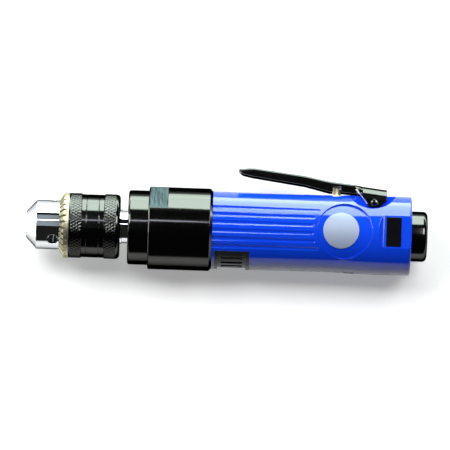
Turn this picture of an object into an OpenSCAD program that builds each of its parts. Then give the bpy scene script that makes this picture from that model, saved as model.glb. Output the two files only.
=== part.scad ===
// Straight air drill with a keyed three jaw chuck, planetary gearing and a vane motor.
// All sizes are in millimetres. The tool axis is X, with the air inlet at +X and the lever at +Y.
// +Z is up as the tool lies on its side; the origin is on the axis in the middle of the collar.

/* [Chuck outside] */
// Diameter of the polished nose
nose_d = 25.8; // [25.4:0.1:26]
// Diameter of the flat front face of the nose
nose_tip_d = 13.8; // [13.4:0.1:15]
// Length of the cone at the front of the nose
nose_cone_length = 5.5; // [4.5:0.1:6.5]
// Length of the nose in front of the toothed ring
nose_length = 17.4; // [16.8:0.1:18.5]
// Length of the toothed ring
ring_length = 5.1; // [4.8:0.1:5.6]
// Diameter of the toothed ring
ring_d = 34.2; // [33.8:0.1:35]
// Teeth on the toothed ring
ring_teeth = 32; // [28:1:36]
// Depth of the teeth along the axis
ring_tooth_depth = 2.5; // [2.2:0.1:2.8]
// Diameter of the sleeve at its gripping bands
sleeve_d = 34; // [33.6:0.1:35]
// Length of the sleeve
sleeve_length = 26.9; // [26.5:0.1:28]
// Depth of the plain band around the middle of the sleeve
sleeve_band_depth = 0.4; // [0.2:0.05:0.5]
// Length of each gripping band
sleeve_grip_length = 6.8; // [6:0.1:7.5]
// Rounding at the rear of the sleeve
sleeve_round = 2.3; // [1.8:0.1:2.6]
// Length of the bare hub behind the sleeve
hub_length = 0.9; // [0.7:0.1:1.4]
// Diameter of the hub
hub_d = 17.8; // [17.4:0.1:18.2]
// Diameter of the holes for the chuck key
key_hole_d = 5.8; // [5.4:0.1:6]
// Distance of the key holes in front of the toothed ring
key_hole_setback = 3.1; // [3:0.1:3.6]
// Depth of the key holes
key_hole_depth = 4.8; // [4:0.1:5]
// Turn of the chuck about the axis, from straight up and away from the lever
chuck_turn = 43; // [-60:1:60]

/* [Chuck inside] */
// Largest shank the chuck takes
chuck_open_d = 10; // [9.6:0.1:10]
// Smallest shank the chuck takes
chuck_closed_d = 1; // [0.8:0.1:1.6]
// Diameter of the mouth bore
mouth_d = 10.1; // [10.1:0.05:10.2]
// Depth of the mouth bore
mouth_depth = 34; // [33.5:0.1:34.4]
// Diameter of each jaw
jaw_d = 5.8; // [5.6:0.1:5.8]
// Slope of the jaws towards the axis
jaw_slope = 14; // [13.8:0.1:14.2]
// Length of a jaw along the axis
jaw_length = 37; // [36:0.1:37.2]
// Distance of the open jaws behind the nose face
jaw_setback = 8.5; // [8:0.1:9]
// Distance from the gripping edge of a jaw to its centre line at the tip
jaw_edge_offset = 0.3; // [0.2:0.05:0.4]
// Inside diameter of the sleeve
sleeve_bore_d = 31; // [30.9:0.1:31.2]
// Thickness of the rear wall of the sleeve
sleeve_wall = 1.5; // [1.3:0.1:1.7]
// Diameter of the thrust flange on the chuck body
flange_d = 29.2; // [28.8:0.1:29.6]
// Thickness of the thrust flange
flange_length = 2.3; // [2:0.1:2.4]
// Length of the split nut
nut_length = 4.5; // [4:0.1:4.8]
// Diameter of the body under the split nut
nut_seat_d = 21.6; // [21:0.1:22]
// Diameter of the chuck body behind the split nut
body_rear_d = 24; // [23:0.1:25]
// Width of the slit between the halves of the nut
nut_slit = 0.4; // [0.3:0.05:0.6]

/* [Spindle and planet gears] */
// Diameter of the spindle in front of the collar
spindle_d = 17.1; // [16.9:0.1:17.3]
// Length of the spindle in front of the collar
shoulder_length = 3.2; // [3:0.1:4]
// Diameter of the screwed stub that carries the chuck
stub_d = 9.52; // [9.4:0.02:9.6]
// Length of the screwed stub
stub_length = 13.8; // [12:0.1:14]
// Diameter of the spindle in its bearings
journal_d = 14.9; // [14.8:0.05:14.95]
// Width of the planet carrier outside the centres of the planets
carrier_rim = 4.6; // [4.4:0.05:4.65]
// Thickness of the planet carrier
carrier_length = 4.1; // [3.8:0.1:4.3]
// Pressure angle of the gears
pressure_angle = 25; // [24:0.5:26]
// Teeth on the sun pinion
sun_teeth = 12; // [12:12:12]
// Teeth on each planet gear
planet_teeth = 24; // [24:24:24]
// Play between gear teeth at the pitch circle
gear_play = 0.12; // [0.1:0.01:0.16]
// Length of the planet gears
planet_length = 8; // [7.6:0.1:8.1]
// Diameter of the planet pins
planet_pin_d = 3; // [2.8:0.1:3.2]
// Thickness of the ring that ties the planet pins together
retainer_length = 1.2; // [1:0.1:1.3]
// Width of the ring that ties the planet pins together
retainer_width = 5; // [4.6:0.1:5.4]
// Length of the ring gear
ring_gear_length = 10.8; // [10.6:0.1:11]
// Step from the spigot of the housing down to the ring gear
ring_gear_step = 1.05; // [1:0.05:1.1]
// Thickness of the ring gear outside its teeth
ring_gear_rim = 2.225; // [2.2:0.025:2.3]

/* [Collar and gear case] */
// Diameter of the front collar
collar_d = 39.2; // [38.8:0.1:39.8]
// Length of the front collar
collar_length = 10.7; // [10.5:0.1:11]
// Rounding at the front of the collar
collar_round = 1.2; // [0.8:0.1:1.5]
// Thickness of the front wall of the collar
cap_wall = 2.8; // [2.6:0.1:3]
// Diameter of the spigot of the collar in the gear case
cap_spigot_d = 33.9; // [33.7:0.1:34.1]
// Length of the spigot of the collar
cap_spigot_length = 2.2; // [2:0.1:2.4]
// Diameter of the felt seal
seal_d = 22; // [21.6:0.1:22.4]
// Thickness of the felt seal
seal_length = 1.4; // [1.2:0.1:1.5]
// Diameter of the gear case
case_d = 43.5; // [43.2:0.1:44]
// Length of the gear case
case_length = 33.5; // [33.3:0.1:34]
// Chamfer at the front of the gear case
case_front_chamfer = 0.5; // [0.4:0.1:0.6]
// Chamfer at the rear of the gear case
case_rear_chamfer = 1.4; // [1:0.1:1.5]
// Depth of the spanner flats
flats_depth = 2.9; // [2.6:0.05:3.1]
// Length of the spanner flats
flats_length = 9.5; // [9:0.1:10]
// Distance of the spanner flats behind the front of the case
flats_setback = 0.6; // [0.5:0.1:0.8]
// Turn of the spanner flats about the axis
flats_turn = 54; // [45:1:65]
// Thickness of the wall of the rear bush of the spindle
bush_wall = 3; // [2.8:0.1:3.2]
// Room for the planet carrier inside the case
carrier_room = 4.8; // [4.7:0.05:4.9]

/* [Ball bearings] */
// Outside diameter of the front bearing
front_bearing_d = 28; // [27.8:0.1:28]
// Bore of the front bearing
front_bearing_bore = 15; // [15:0.05:15.05]
// Width of the front bearing
front_bearing_width = 7; // [6.9:0.05:7]
// Balls in the front bearing
front_bearing_balls_count = 8; // [7:1:8]
// Outside diameter of the rotor bearings
rotor_bearing_d = 22; // [21.8:0.1:22]
// Bore of the rotor bearings
rotor_bearing_bore = 8; // [8:0.05:8.05]
// Width of the rotor bearings
rotor_bearing_width = 7; // [6.9:0.05:7]
// Balls in each rotor bearing
rotor_bearing_balls_count = 7; // [6:1:7]
// Ball diameter as a share of the ring height
ball_share = 0.6; // [0.58:0.01:0.62]

/* [Vane motor] */
// Thickness of the spigot of the housing around the motor
spigot_wall = 1.9; // [1.85:0.05:2]
// Length of the spigot of the housing in the gear case
spigot_length = 8; // [7.8:0.1:8.1]
// Thickness of the gear case around the spigot of the housing
case_wall = 2.85; // [2.8:0.05:2.95]
// Length of each end plate
plate_length = 8.8; // [8.7:0.05:8.9]
// Length of the housing that the motor cylinder leaves free
valve_block_length = 62; // [61.8:0.1:62.6]
// Mean thickness of the wall of the motor cylinder
cylinder_wall = 2.5; // [2.45:0.05:2.55]
// Offset of the cylinder bore from the tool axis
bore_offset = 1.2; // [1.1:0.05:1.2]
// Least gap between the rotor and the cylinder
rotor_gap = 0.3; // [0.3:0.05:0.4]
// Diameter of the rotor shaft
shaft_d = 7.9; // [7.8:0.05:7.95]
// Vanes in the rotor
vane_count = 5; // [4:1:6]
// Thickness of a vane
vane_thickness = 1.6; // [1.4:0.1:1.8]
// Depth of a vane
vane_depth = 6.4; // [6:0.1:6.6]
// Diameter of the dowel through the cylinder
dowel_d = 2; // [1.8:0.1:2.1]
// Depth of the dowel in each end plate
dowel_depth = 1.5; // [1.2:0.1:1.6]
// Thickness of the rear gasket
gasket_thickness = 0.4; // [0.3:0.05:0.5]
// Width of the rear gasket around the air space
gasket_width = 2.8; // [2.6:0.1:3]
// Depth of the air space behind the motor
plenum_depth = 1.6; // [1.4:0.1:2]
// Width of the ports in the motor cylinder
port_width = 2.4; // [2:0.1:2.8]
// Length of the ports in the motor cylinder
port_length = 10; // [8:0.5:11]

/* [Housing] */
// Diameter of the housing at its front
housing_front_d = 41; // [40.8:0.1:41.2]
// Diameter of the housing at its waist
housing_waist_d = 40.4; // [40.2:0.1:40.6]
// Diameter of the housing at its rear
housing_rear_d = 41.7; // [41.5:0.1:41.9]
// Length of the housing
housing_length = 104.2; // [103.8:0.1:105]
// Distance of the waist behind the front edge
waist_setback = 59; // [56:0.5:62]
// Rounding at the rear edge of the housing
housing_round = 1; // [0.6:0.1:1.2]
// Flutes on each side
flute_count = 6; // [5:1:6]
// Angle between flutes
flute_pitch = 12; // [11.5:0.1:12.5]
// Width of a flute
flute_width = 2.5; // [2.2:0.1:2.8]
// Depth of a flute
flute_depth = 0.65; // [0.5:0.05:0.75]
// Distance of the flute ends from the middle of the round recess
flute_end_radius = 17.2; // [16.4:0.1:18]
// Distance of the round recess in front of the rear edge
recess_setback = 34.9; // [34.2:0.1:35.2]
// Diameter of the round recess
recess_d = 28.8; // [28:0.1:29]
// Depth of the round recess
recess_depth = 0.6; // [0.5:0.05:0.7]
// Distance of the name disc in front of the middle of the recess
disc_offset = 1.9; // [1.6:0.1:2.2]
// Diameter of the name disc
disc_d = 18.8; // [18:0.1:19.4]
// Thickness of the name disc
disc_thickness = 0.35; // [0.3:0.05:0.4]
// Height of the flat pads on the sides above the axis
pad_height = 19.05; // [18.9:0.05:19.2]
// Length of the flat pads
pad_length = 18; // [17.5:0.1:18.5]
// Rounding where a flat pad runs out
pad_round = 4.5; // [4:0.1:4.7]
// Length of the side label along the tool
label_length = 7.9; // [7.5:0.1:8.2]
// Width of the side label across the tool
label_width = 15.4; // [15:0.1:15.6]
// Thickness of the side label
label_thickness = 0.25; // [0.2:0.05:0.3]
// Distance of the side label in front of the rear edge
label_setback = 9.3; // [9:0.1:9.6]

/* [Exhaust] */
// Length of the exhaust window
window_length = 18.3; // [17.6:0.1:18.6]
// Distance of the exhaust window behind the front edge
window_setback = 1.5; // [1.4:0.1:1.8]
// Half of the angle that the exhaust window spans
window_half_angle = 52; // [50:0.5:53]
// Width of the rim of the deflector
deflector_rim = 0.9; // [0.8:0.05:1]
// Thickness of the rim of the deflector
deflector_rim_thickness = 0.45; // [0.4:0.05:0.5]
// Depth of the deflector grille under the housing surface
deflector_sink = 1.1; // [1:0.05:1.2]
// Thickness of the deflector grille
deflector_wall = 0.9; // [0.8:0.05:1]
// Slots in the deflector
deflector_slots = 7; // [6:1:7]
// Angle between the deflector slots
deflector_slot_pitch = 12; // [11.5:0.5:12.5]
// Width of a deflector slot
deflector_slot_width = 2; // [1.6:0.1:2.2]
// Thickness of the exhaust felt
felt_thickness = 0.8; // [0.6:0.05:0.9]

/* [Throttle lever] */
// Distance of the lever pin behind the plunger
pivot_setback = 19.8; // [19.6:0.1:20]
// Height of the lever pin above the axis
pivot_height = 16.5; // [16.3:0.1:16.6]
// Diameter of the lever pin
lever_pin_d = 3.6; // [3.4:0.1:3.6]
// Reach of the lever tip in front of the pin
lever_reach = 71.5; // [70:0.5:72]
// Rise of the lever tip above the pin
tip_rise = 15.5; // [15.2:0.1:15.8]
// Slant of the lever tip
tip_slant = 2.2; // [2:0.1:2.4]
// Drop of the lower corner of the lever tip
tip_drop = 3.1; // [2.9:0.1:3.3]
// Distance from the lever tip to the start of the top plate
crest_setback = 7; // [6.6:0.1:7.4]
// Rise of the front of the top plate above the pin
crest_rise = 16.3; // [16.1:0.1:16.5]
// Distance in front of the pin where the top plate bends
bend_reach = 36.7; // [36:0.1:37.4]
// Rise of the bend above the pin
bend_rise = 13; // [12.8:0.1:13.2]
// Distance in front of the pin where the top plate dips
dip_reach = 23.5; // [23:0.1:24]
// Rise of the dip above the pin
dip_rise = 10.4; // [10.2:0.1:10.6]
// Distance in front of the pin where the ears begin
ear_reach = 10; // [9.8:0.1:10.2]
// Rise of the top plate where the ears begin
ear_rise = 9.1; // [9:0.1:9.3]
// Reach of the lever behind the pin
heel_reach = 6.4; // [6:0.1:6.6]
// Rise of the lever heel above the pin
heel_rise = 7.2; // [7:0.1:7.4]
// Rise of the heel edge where the ears turn in
heel_edge_rise = 1; // [0.8:0.1:1.4]
// Drop of the ears below the pin
ear_drop = 2.6; // [2.4:0.1:2.8]
// Half of the length of the lower edge of the ears
ear_foot = 2.8; // [2.6:0.1:3]
// Distance from the pin to the corner in front of an ear
ear_corner_reach = 7; // [6.8:0.1:7.4]
// Rise of the corner in the front edge of an ear
ear_corner_rise = 3.4; // [3.2:0.1:3.8]
// Height of the lever sides
side_height = 5.2; // [5:0.1:5.3]
// Thickness of the lever sheet
sheet = 1.5; // [1.4:0.05:1.5]
// Width of the lever in front
lever_width = 12.8; // [12.6:0.1:13]
// Width of the lever over the ears
ear_width = 16.2; // [16.1:0.1:16.3]
// Length of the step in the lever sides
joggle_length = 2.4; // [2.2:0.1:2.8]
// Width of the notch in the lever sides beside the plunger
notch_width = 4.8; // [4.6:0.1:5]
// Height of the notch in the lever sides
notch_height = 2.9; // [2.7:0.1:3]
// Width of the housing between the lever ears
boss_width = 12.4; // [12.2:0.1:12.4]
// Radius of the scoops beside the lever ears
scoop_radius = 13.8; // [13.6:0.1:14.2]
// Height of the floor of the scoops above the axis
scoop_floor = 12.2; // [12:0.1:12.4]
// Distance of the middle of the scoops in front of the pin
scoop_reach = 1.1; // [0.8:0.1:1.4]
// Height of the floor of the grooves under the lever sides
groove_floor = 18.2; // [18:0.1:18.3]
// Length of the grooves under the lever sides
groove_length = 27; // [26:0.5:28]

/* [Throttle valve] */
// Distance of the plunger in front of the rear edge of the housing
valve_setback = 39.4; // [38.8:0.1:39.6]
// Diameter of the plunger
plunger_d = 4.2; // [4:0.1:4.3]
// Diameter of the plunger stem
plunger_stem_d = 2.4; // [2.2:0.1:2.6]
// Height of the plunger top above the axis
plunger_top = 24.4; // [24.2:0.1:24.5]
// Depth of the step across the plunger top
plunger_step = 0.8; // [0.6:0.1:1]
// Diameter of the plunger bush
plunger_bush_d = 10; // [9.6:0.1:10.2]
// Height of the lower end of the plunger bush
plunger_bush_floor = 9.5; // [9.3:0.1:9.8]
// Height of the upper end of the plunger bush
plunger_bush_top = 19.8; // [19.6:0.1:19.9]
// Height of the plunger seal
plunger_seal_height = 13; // [12.6:0.1:14]
// Section diameter of the plunger seal
plunger_seal_section = 1.2; // [1.1:0.05:1.3]
// Diameter of the upper valve chamber
upper_chamber_d = 8.4; // [8.2:0.1:8.6]
// Height of the valve seat face
seat_height = 2; // [1.8:0.1:2.2]
// Thickness of the valve seat
seat_thickness = 2; // [1.8:0.1:2.2]
// Bore of the valve seat
seat_bore = 5.2; // [5:0.1:5.4]
// Diameter of the lower valve chamber
lower_chamber_d = 7.2; // [7.1:0.1:7.4]
// Depth of the lower valve chamber under the axis
lower_chamber_depth = 14; // [13.6:0.1:14.4]
// Diameter of the valve poppet
poppet_d = 6.2; // [6.1:0.1:6.4]
// Thickness of the valve poppet
poppet_thickness = 2.7; // [2.5:0.1:2.9]
// Diameter of the tail of the valve poppet
poppet_tail_d = 2.4; // [2.2:0.1:2.6]
// Length of the tail of the valve poppet
poppet_tail_length = 3.2; // [3:0.1:3.6]
// Outside diameter of the valve spring
spring_d = 5; // [4.8:0.1:5.1]
// Thickness of the wall of the valve spring
spring_wall = 0.7; // [0.6:0.05:0.8]
// Height of the feed passage above the axis
feed_height = 8; // [7.8:0.1:8.2]
// Diameter of the feed passage
feed_d = 6; // [5.6:0.1:6.2]

/* [Regulator and inlet] */
// Distance of the regulator behind the plunger
regulator_setback = 7.7; // [7.6:0.1:7.9]
// Diameter of the regulator screw
regulator_d = 5.8; // [5.6:0.1:5.8]
// Height of the upper end of the regulator screw below the axis
regulator_end = 0.6; // [0.5:0.1:0.8]
// Depth of the regulator head below the axis
regulator_head = 20; // [19.8:0.05:20.1]
// Width of the screwdriver slot
regulator_slot_width = 1; // [0.8:0.1:1.2]
// Depth of the screwdriver slot
regulator_slot_depth = 1.2; // [1:0.1:1.4]
// Depth of the regulator seal below the axis
regulator_seal_depth = 14; // [13:0.1:15]
// Section diameter of the regulator seal
regulator_seal_section = 0.8; // [0.7:0.05:0.9]
// Depth of the inlet passage below the axis
passage_depth = 4; // [3.8:0.1:4.2]
// Diameter of the inlet passage
passage_d = 4.8; // [4.6:0.1:5]
// Diameter of the inlet bush
inlet_d = 26.4; // [26:0.1:27]
// Length of the inlet bush behind the housing
inlet_length = 8.6; // [8.2:0.1:9.2]
// Rounding at the rear of the inlet bush
inlet_round = 2.4; // [2:0.1:2.8]
// Diameter of the screwed end of the inlet bush
inlet_spigot_d = 17.9; // [17.6:0.1:18]
// Length of the screwed end of the inlet bush
inlet_spigot_length = 11.9; // [11.6:0.1:12]
// Diameter of the tapped inlet
inlet_thread_d = 11.44; // [11.4:0.02:11.5]
// Depth of the tapped inlet
inlet_thread_depth = 13; // [12.6:0.1:13.4]
// Section diameter of the inlet seal
inlet_seal_section = 1.4; // [1.3:0.05:1.5]
// Distance of the inlet seal in front of the rear edge of the housing
inlet_seal_setback = 2.6; // [2.4:0.1:3]
// Thickness of the inlet screen
screen_thickness = 0.6; // [0.5:0.05:0.7]
// Diameter of the holes in the inlet screen
screen_hole_d = 1.3; // [1.2:0.1:1.4]
// Depth of the space in front of the inlet screen
screen_space = 2; // [1.8:0.1:2.4]
// Diameter of the space in front of the inlet screen
screen_space_d = 14; // [13.6:0.1:14.4]

/* [Clearances] */
// Gap of a seated or running fit
fit_gap = 0.05; // [0.04:0.01:0.06]
// Gap between the flat ends of neighbouring parts
end_gap = 0.1; // [0.08:0.01:0.12]
// Gap between parts that pass each other
free_gap = 0.35; // [0.32:0.01:0.38]
// Overrun of cuts past the surface they open
overrun = 1; // [0.8:0.1:1.2]

/* [Hidden] */
$fn = 72;
half_share = 0.5;
sixth_turn = 60;
third_turn = 120;
full_turn = 360;

// Stations along the tool axis, from the nose to the inlet
collar_front_x = -collar_length * half_share;
case_front_x = collar_length * half_share;
case_rear_x = case_front_x + case_length;
housing_rear_x = case_rear_x + housing_length;
inlet_rear_x = housing_rear_x + inlet_length;
chuck_seat_x = collar_front_x - shoulder_length;
sleeve_rear_x = chuck_seat_x - hub_length;
sleeve_front_x = sleeve_rear_x - sleeve_length;
ring_front_x = sleeve_front_x - ring_length;
nose_front_x = ring_front_x - nose_length;

// Chuck
key_hole_x = ring_front_x - key_hole_setback;
jaw_tip_x = nose_front_x + jaw_setback;
jaw_rear_x = jaw_tip_x + jaw_length;
jaw_open_r = chuck_open_d * half_share + jaw_edge_offset;
jaw_bore_d = jaw_d + fit_gap * 2;
jaw_trim_r = sleeve_bore_d * half_share - free_gap;
flange_front_x = sleeve_front_x + end_gap;
flange_rear_x = flange_front_x + flange_length;
nut_front_x = flange_rear_x + end_gap;
nut_rear_x = nut_front_x + nut_length;
nut_seat_rear_x = nut_rear_x + end_gap;
body_rear_x = sleeve_rear_x - sleeve_wall - free_gap;
jaw_reach_r = jaw_d * half_share / cos(jaw_slope) + free_gap;
ring_bore_r = nose_d * half_share + end_gap;
ring_bevel_rise = ring_d * half_share - ring_bore_r - end_gap;
ring_bevel_angle = atan2(ring_tooth_depth, ring_bevel_rise);
ring_tooth_pitch = PI * ring_d / ring_teeth;
tooth_gap_share = 0.55;
tooth_root_share = 0.3;

// Diameters inside the gear case and the housing
spigot_d = case_d - case_wall * 2;
ring_gear_d = spigot_d - ring_gear_step * 2;
motor_d = spigot_d - spigot_wall * 2;
cylinder_bore_d = motor_d - cylinder_wall * 2;
rotor_d = cylinder_bore_d - (bore_offset + rotor_gap) * 2;
plenum_d = motor_d - gasket_width * 2;
flats_across = case_d - flats_depth * 2;

// Gears
root_share = 1.25;
ring_gear_teeth = sun_teeth + planet_teeth * 2;
gear_module = (ring_gear_d - ring_gear_rim * 2) / (ring_gear_teeth + root_share * 2);
sun_pitch_r = gear_module * sun_teeth * half_share;
planet_pitch_r = gear_module * planet_teeth * half_share;
ring_pitch_r = gear_module * ring_gear_teeth * half_share;
planet_centre_r = sun_pitch_r + planet_pitch_r;
carrier_d = (planet_centre_r + carrier_rim) * 2;

// Gear case and motor stations
motor_front_x = case_rear_x - spigot_length;
ring_gear_rear_x = motor_front_x - end_gap * 4;
ring_gear_front_x = ring_gear_rear_x - ring_gear_length;
web_rear_x = ring_gear_front_x - carrier_room;
web_front_x = case_front_x + cap_spigot_length + end_gap;
carrier_rear_x = ring_gear_front_x;
carrier_front_x = carrier_rear_x - carrier_length;
planet_front_x = carrier_rear_x + free_gap;
planet_rear_x = planet_front_x + planet_length;
retainer_front_x = planet_rear_x + free_gap;
bearing_front_x = collar_front_x + cap_wall + fit_gap;
bearing_rear_x = bearing_front_x + front_bearing_width;
seal_front_x = bearing_front_x - seal_length - end_gap * 5;
cylinder_length = housing_length - valve_block_length;
front_plate_rear_x = motor_front_x + plate_length;
rear_plate_front_x = front_plate_rear_x + cylinder_length;
rear_plate_rear_x = rear_plate_front_x + plate_length;
motor_rear_x = rear_plate_rear_x + gasket_thickness;
front_rotor_bearing_x = motor_front_x + end_gap;
rear_rotor_bearing_x = rear_plate_rear_x - rotor_bearing_width - end_gap;
motor_bore_d = motor_d + fit_gap * 2;
journal_r = journal_d * half_share;
shaft_r = shaft_d * half_share;
cylinder_wall_middle_r = ((motor_d + cylinder_bore_d) * half_share - bore_offset) * half_share;

// Housing features
waist_x = case_rear_x + waist_setback;
recess_x = housing_rear_x - recess_setback;
disc_x = recess_x - disc_offset;
waist_r = housing_waist_d * half_share;
recess_floor_r = waist_r - recess_depth;
flute_half_width = flute_width * half_share;
flute_r = (flute_half_width * flute_half_width + flute_depth * flute_depth) / (flute_depth * 2);
flute_axis_r = housing_front_d * half_share - flute_depth + flute_r;
window_front_x = case_rear_x + window_setback;
housing_front_r = housing_front_d * half_share;
window_inner_angle = window_half_angle - belly_turn(deflector_rim);
rim_inner_r = housing_front_r - deflector_rim_thickness - fit_gap;
grille_r = housing_front_r - deflector_sink;

// Angle that a length spans on the surface at the front of the housing
function belly_turn(length) = length / housing_front_r * full_turn / (PI * 2);

// Throttle and inlet places
valve_x = housing_rear_x - valve_setback;
pivot_x = valve_x + pivot_setback;
regulator_x = valve_x + regulator_setback;
inlet_bore_x = housing_rear_x - inlet_spigot_length - screen_thickness - end_gap * 2;
poppet_top = seat_height - fit_gap;
poppet_floor = poppet_top - poppet_thickness;
plunger_seal_ring_r = (plunger_d + plunger_seal_section) * half_share + fit_gap;
regulator_seal_ring_r = (regulator_d - regulator_seal_section) * half_share - fit_gap;
inlet_seal_ring_r = (inlet_spigot_d - inlet_seal_section) * half_share;
screen_rings = 2;
screen_ring_holes = 6;
screen_pitch_share = 1.6;

// Places children that were drawn along Z so that they lie along the tool axis
module along_tool(x = 0) {
    translate([x, 0, 0])
        rotate([0, 90, 0])
            children();
}

// Places children that were drawn along Z so that they point at the lever
module along_lever(x = 0, y = 0) {
    translate([x, y, 0])
        rotate([-90, 0, 0])
            children();
}

// Turned part from a list of [radius, station] points
module turned(points) {
    along_tool()
        rotate_extrude()
            polygon(points);
}

// Ring or disc on the tool axis between two stations
module tube(x0, x1, outer_d, inner_d = 0) {
    along_tool(x0)
        difference() {
            cylinder(d = outer_d, h = x1 - x0);
            if (inner_d > 0)
                translate([0, 0, -overrun])
                    cylinder(d = inner_d, h = x1 - x0 + overrun * 2);
        }
}

// Bore on the tool axis between two stations
module bore(x0, x1, d) {
    along_tool(x0)
        cylinder(d = d, h = x1 - x0);
}

// Ring with a round section on the tool axis
module round_ring(x, ring_r, section_d) {
    along_tool(x)
        rotate_extrude()
            translate([ring_r, 0])
                circle(d = section_d);
}

// Waste outside the rounding of an edge; side is 1 for a rear edge and -1 for a front edge
module edge_waste(edge_r, x, round_r, side) {
    along_tool()
        rotate_extrude()
            translate([edge_r - round_r, x - side * round_r])
                difference() {
                    translate([0, side > 0 ? 0 : -round_r - overrun])
                        square([round_r + overrun, round_r + overrun]);
                    circle(r = round_r);
                }
}

// Piece of a shell about the tool axis, centred under the tool
module belly_shell(x0, x1, inner_r, outer_r, half_angle) {
    along_tool(x0)
        rotate([0, 0, -90 - half_angle])
            rotate_extrude(angle = half_angle * 2)
                translate([inner_r, 0])
                    square([outer_r - inner_r, x1 - x0]);
}

// Puts children, drawn for the direction straight up, at each of three even turns
module each_third(turn = 0) {
    for (i = [0 : 2])
        rotate([turn + i * third_turn, 0, 0])
            children();
}

// Involute of a pressure angle, in degrees
function involute(a) = tan(a) * full_turn / (PI * 2) - a;

// Half of the angle of a tooth at radius r
function tooth_half_angle(r, pitch_r, thickness) =
    thickness / pitch_r * full_turn / (PI * 4)
    + involute(pressure_angle)
    - involute(acos(min(1, pitch_r * cos(pressure_angle) / r)));

function polar(r, a) = [r * cos(a), r * sin(a)];

// Outline of a gear with a tooth on the first axis
module gear_outline(teeth, root_r, tip_r, thickness) {
    pitch_r = gear_module * teeth * half_share;
    steps = 4;
    radii = [for (i = [0 : steps]) root_r + (tip_r - root_r) * i / steps];
    polygon([
        for (t = [0 : teeth - 1])
            for (side = [-1, 1])
                for (i = [0 : steps])
                    let (r = radii[side < 0 ? i : steps - i])
                    polar(r, t * full_turn / teeth + side * tooth_half_angle(r, pitch_r, thickness))
    ]);
}

// Outline of a gear that meshes with play
module playing_gear(teeth) {
    pitch_r = gear_module * teeth * half_share;
    gear_outline(teeth, pitch_r - gear_module * root_share, pitch_r + gear_module,
        PI * gear_module * half_share - gear_play * half_share);
}

// Sizes of a ball bearing: pitch radius, ball diameter and the height of a ring
function bearing_pitch_r(d, b) = (d + b) / 4;
function bearing_ball_d(d, b) = (d - b) * half_share * ball_share;
function race_gap_d(d, b) = bearing_ball_d(d, b) + free_gap * 2;
ring_height_share = 0.3;

// Outer ring of a ball bearing whose front face is at x
module bearing_outer(x, d, b, width) {
    inner_d = d - (d - b) * ring_height_share;
    difference() {
        tube(x, x + width, d - fit_gap * 2, inner_d);
        round_ring(x + width * half_share, bearing_pitch_r(d, b), race_gap_d(d, b));
    }
}

// Inner ring of a ball bearing
module bearing_inner(x, d, b, width) {
    difference() {
        tube(x, x + width, b + (d - b) * ring_height_share, b);
        round_ring(x + width * half_share, bearing_pitch_r(d, b), race_gap_d(d, b));
    }
}

// Balls of a ball bearing
module bearing_balls(x, d, b, width, count) {
    along_tool(x + width * half_share)
        for (i = [0 : count - 1])
            rotate([0, 0, i * full_turn / count])
                translate([bearing_pitch_r(d, b), 0, 0])
                    sphere(d = bearing_ball_d(d, b));
}

// Cage of a ball bearing
module bearing_cage(x, d, b, width, count) {
    pitch_d = bearing_pitch_r(d, b) * 2;
    cage_length = width - free_gap * 4;
    cage_height = (d - b) * (half_share - ring_height_share) - free_gap * 2;
    middle = x + width * half_share;
    difference() {
        tube(middle - cage_length * half_share, middle + cage_length * half_share,
            pitch_d + cage_height, pitch_d - cage_height);
        along_tool(middle)
            for (i = [0 : count - 1])
                rotate([0, 90, i * full_turn / count])
                    cylinder(d = bearing_ball_d(d, b) + fit_gap * 2, h = d);
    }
}

// Cylinder along the path of the upward jaw, made longer before and after it
module jaw_bar(d, before = 0, after = 0) {
    translate([jaw_tip_x, 0, jaw_open_r])
        rotate([0, 90 - jaw_slope, 0])
            translate([0, 0, -before])
                cylinder(d = d, h = before + jaw_length / cos(jaw_slope) + after);
}

// One jaw for the upward direction, with the chuck fully open
module upward_jaw() {
    edge_r = chuck_open_d * half_share;
    wedge_half = ring_d * tan(sixth_turn);
    intersection() {
        jaw_bar(jaw_d, jaw_d, jaw_d);
        bore(jaw_tip_x, jaw_rear_x, jaw_trim_r * 2);
        translate([jaw_tip_x, 0, 0])
            rotate([0, 90, 0])
                linear_extrude(jaw_length)
                    polygon([
                        [-edge_r, 0],
                        [-edge_r - ring_d, wedge_half],
                        [-edge_r - ring_d, -wedge_half]
                    ]);
    }
}

module chuck_jaw(turn) {
    color("silver")
        rotate([chuck_turn + sixth_turn + turn, 0, 0])
            upward_jaw();
}

module chuck_jaw_1() {
    chuck_jaw(0);
}

module chuck_jaw_2() {
    chuck_jaw(third_turn);
}

module chuck_jaw_3() {
    chuck_jaw(third_turn * 2);
}

module chuck_body() {
    color("silver")
        difference() {
            turned([
                [0, nose_front_x],
                [nose_tip_d * half_share, nose_front_x],
                [nose_d * half_share, nose_front_x + nose_cone_length],
                [nose_d * half_share, flange_front_x],
                [flange_d * half_share, flange_front_x],
                [flange_d * half_share, flange_rear_x],
                [nut_seat_d * half_share, flange_rear_x],
                [nut_seat_d * half_share, nut_seat_rear_x],
                [body_rear_d * half_share, nut_seat_rear_x],
                [body_rear_d * half_share, body_rear_x],
                [hub_d * half_share, body_rear_x],
                [hub_d * half_share, chuck_seat_x],
                [0, chuck_seat_x]
            ]);
            bore(nose_front_x - overrun, nose_front_x + mouth_depth, mouth_d);
            bore(chuck_seat_x - stub_length - end_gap * 2, chuck_seat_x + overrun, stub_d + fit_gap * 2);
            each_third(chuck_turn + sixth_turn)
                jaw_bar(jaw_bore_d, jaw_length, jaw_length);
            each_third(chuck_turn)
                translate([key_hole_x, 0, nose_d * half_share - key_hole_depth])
                    cylinder(d = key_hole_d, h = key_hole_depth + overrun);
        }
}

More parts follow.
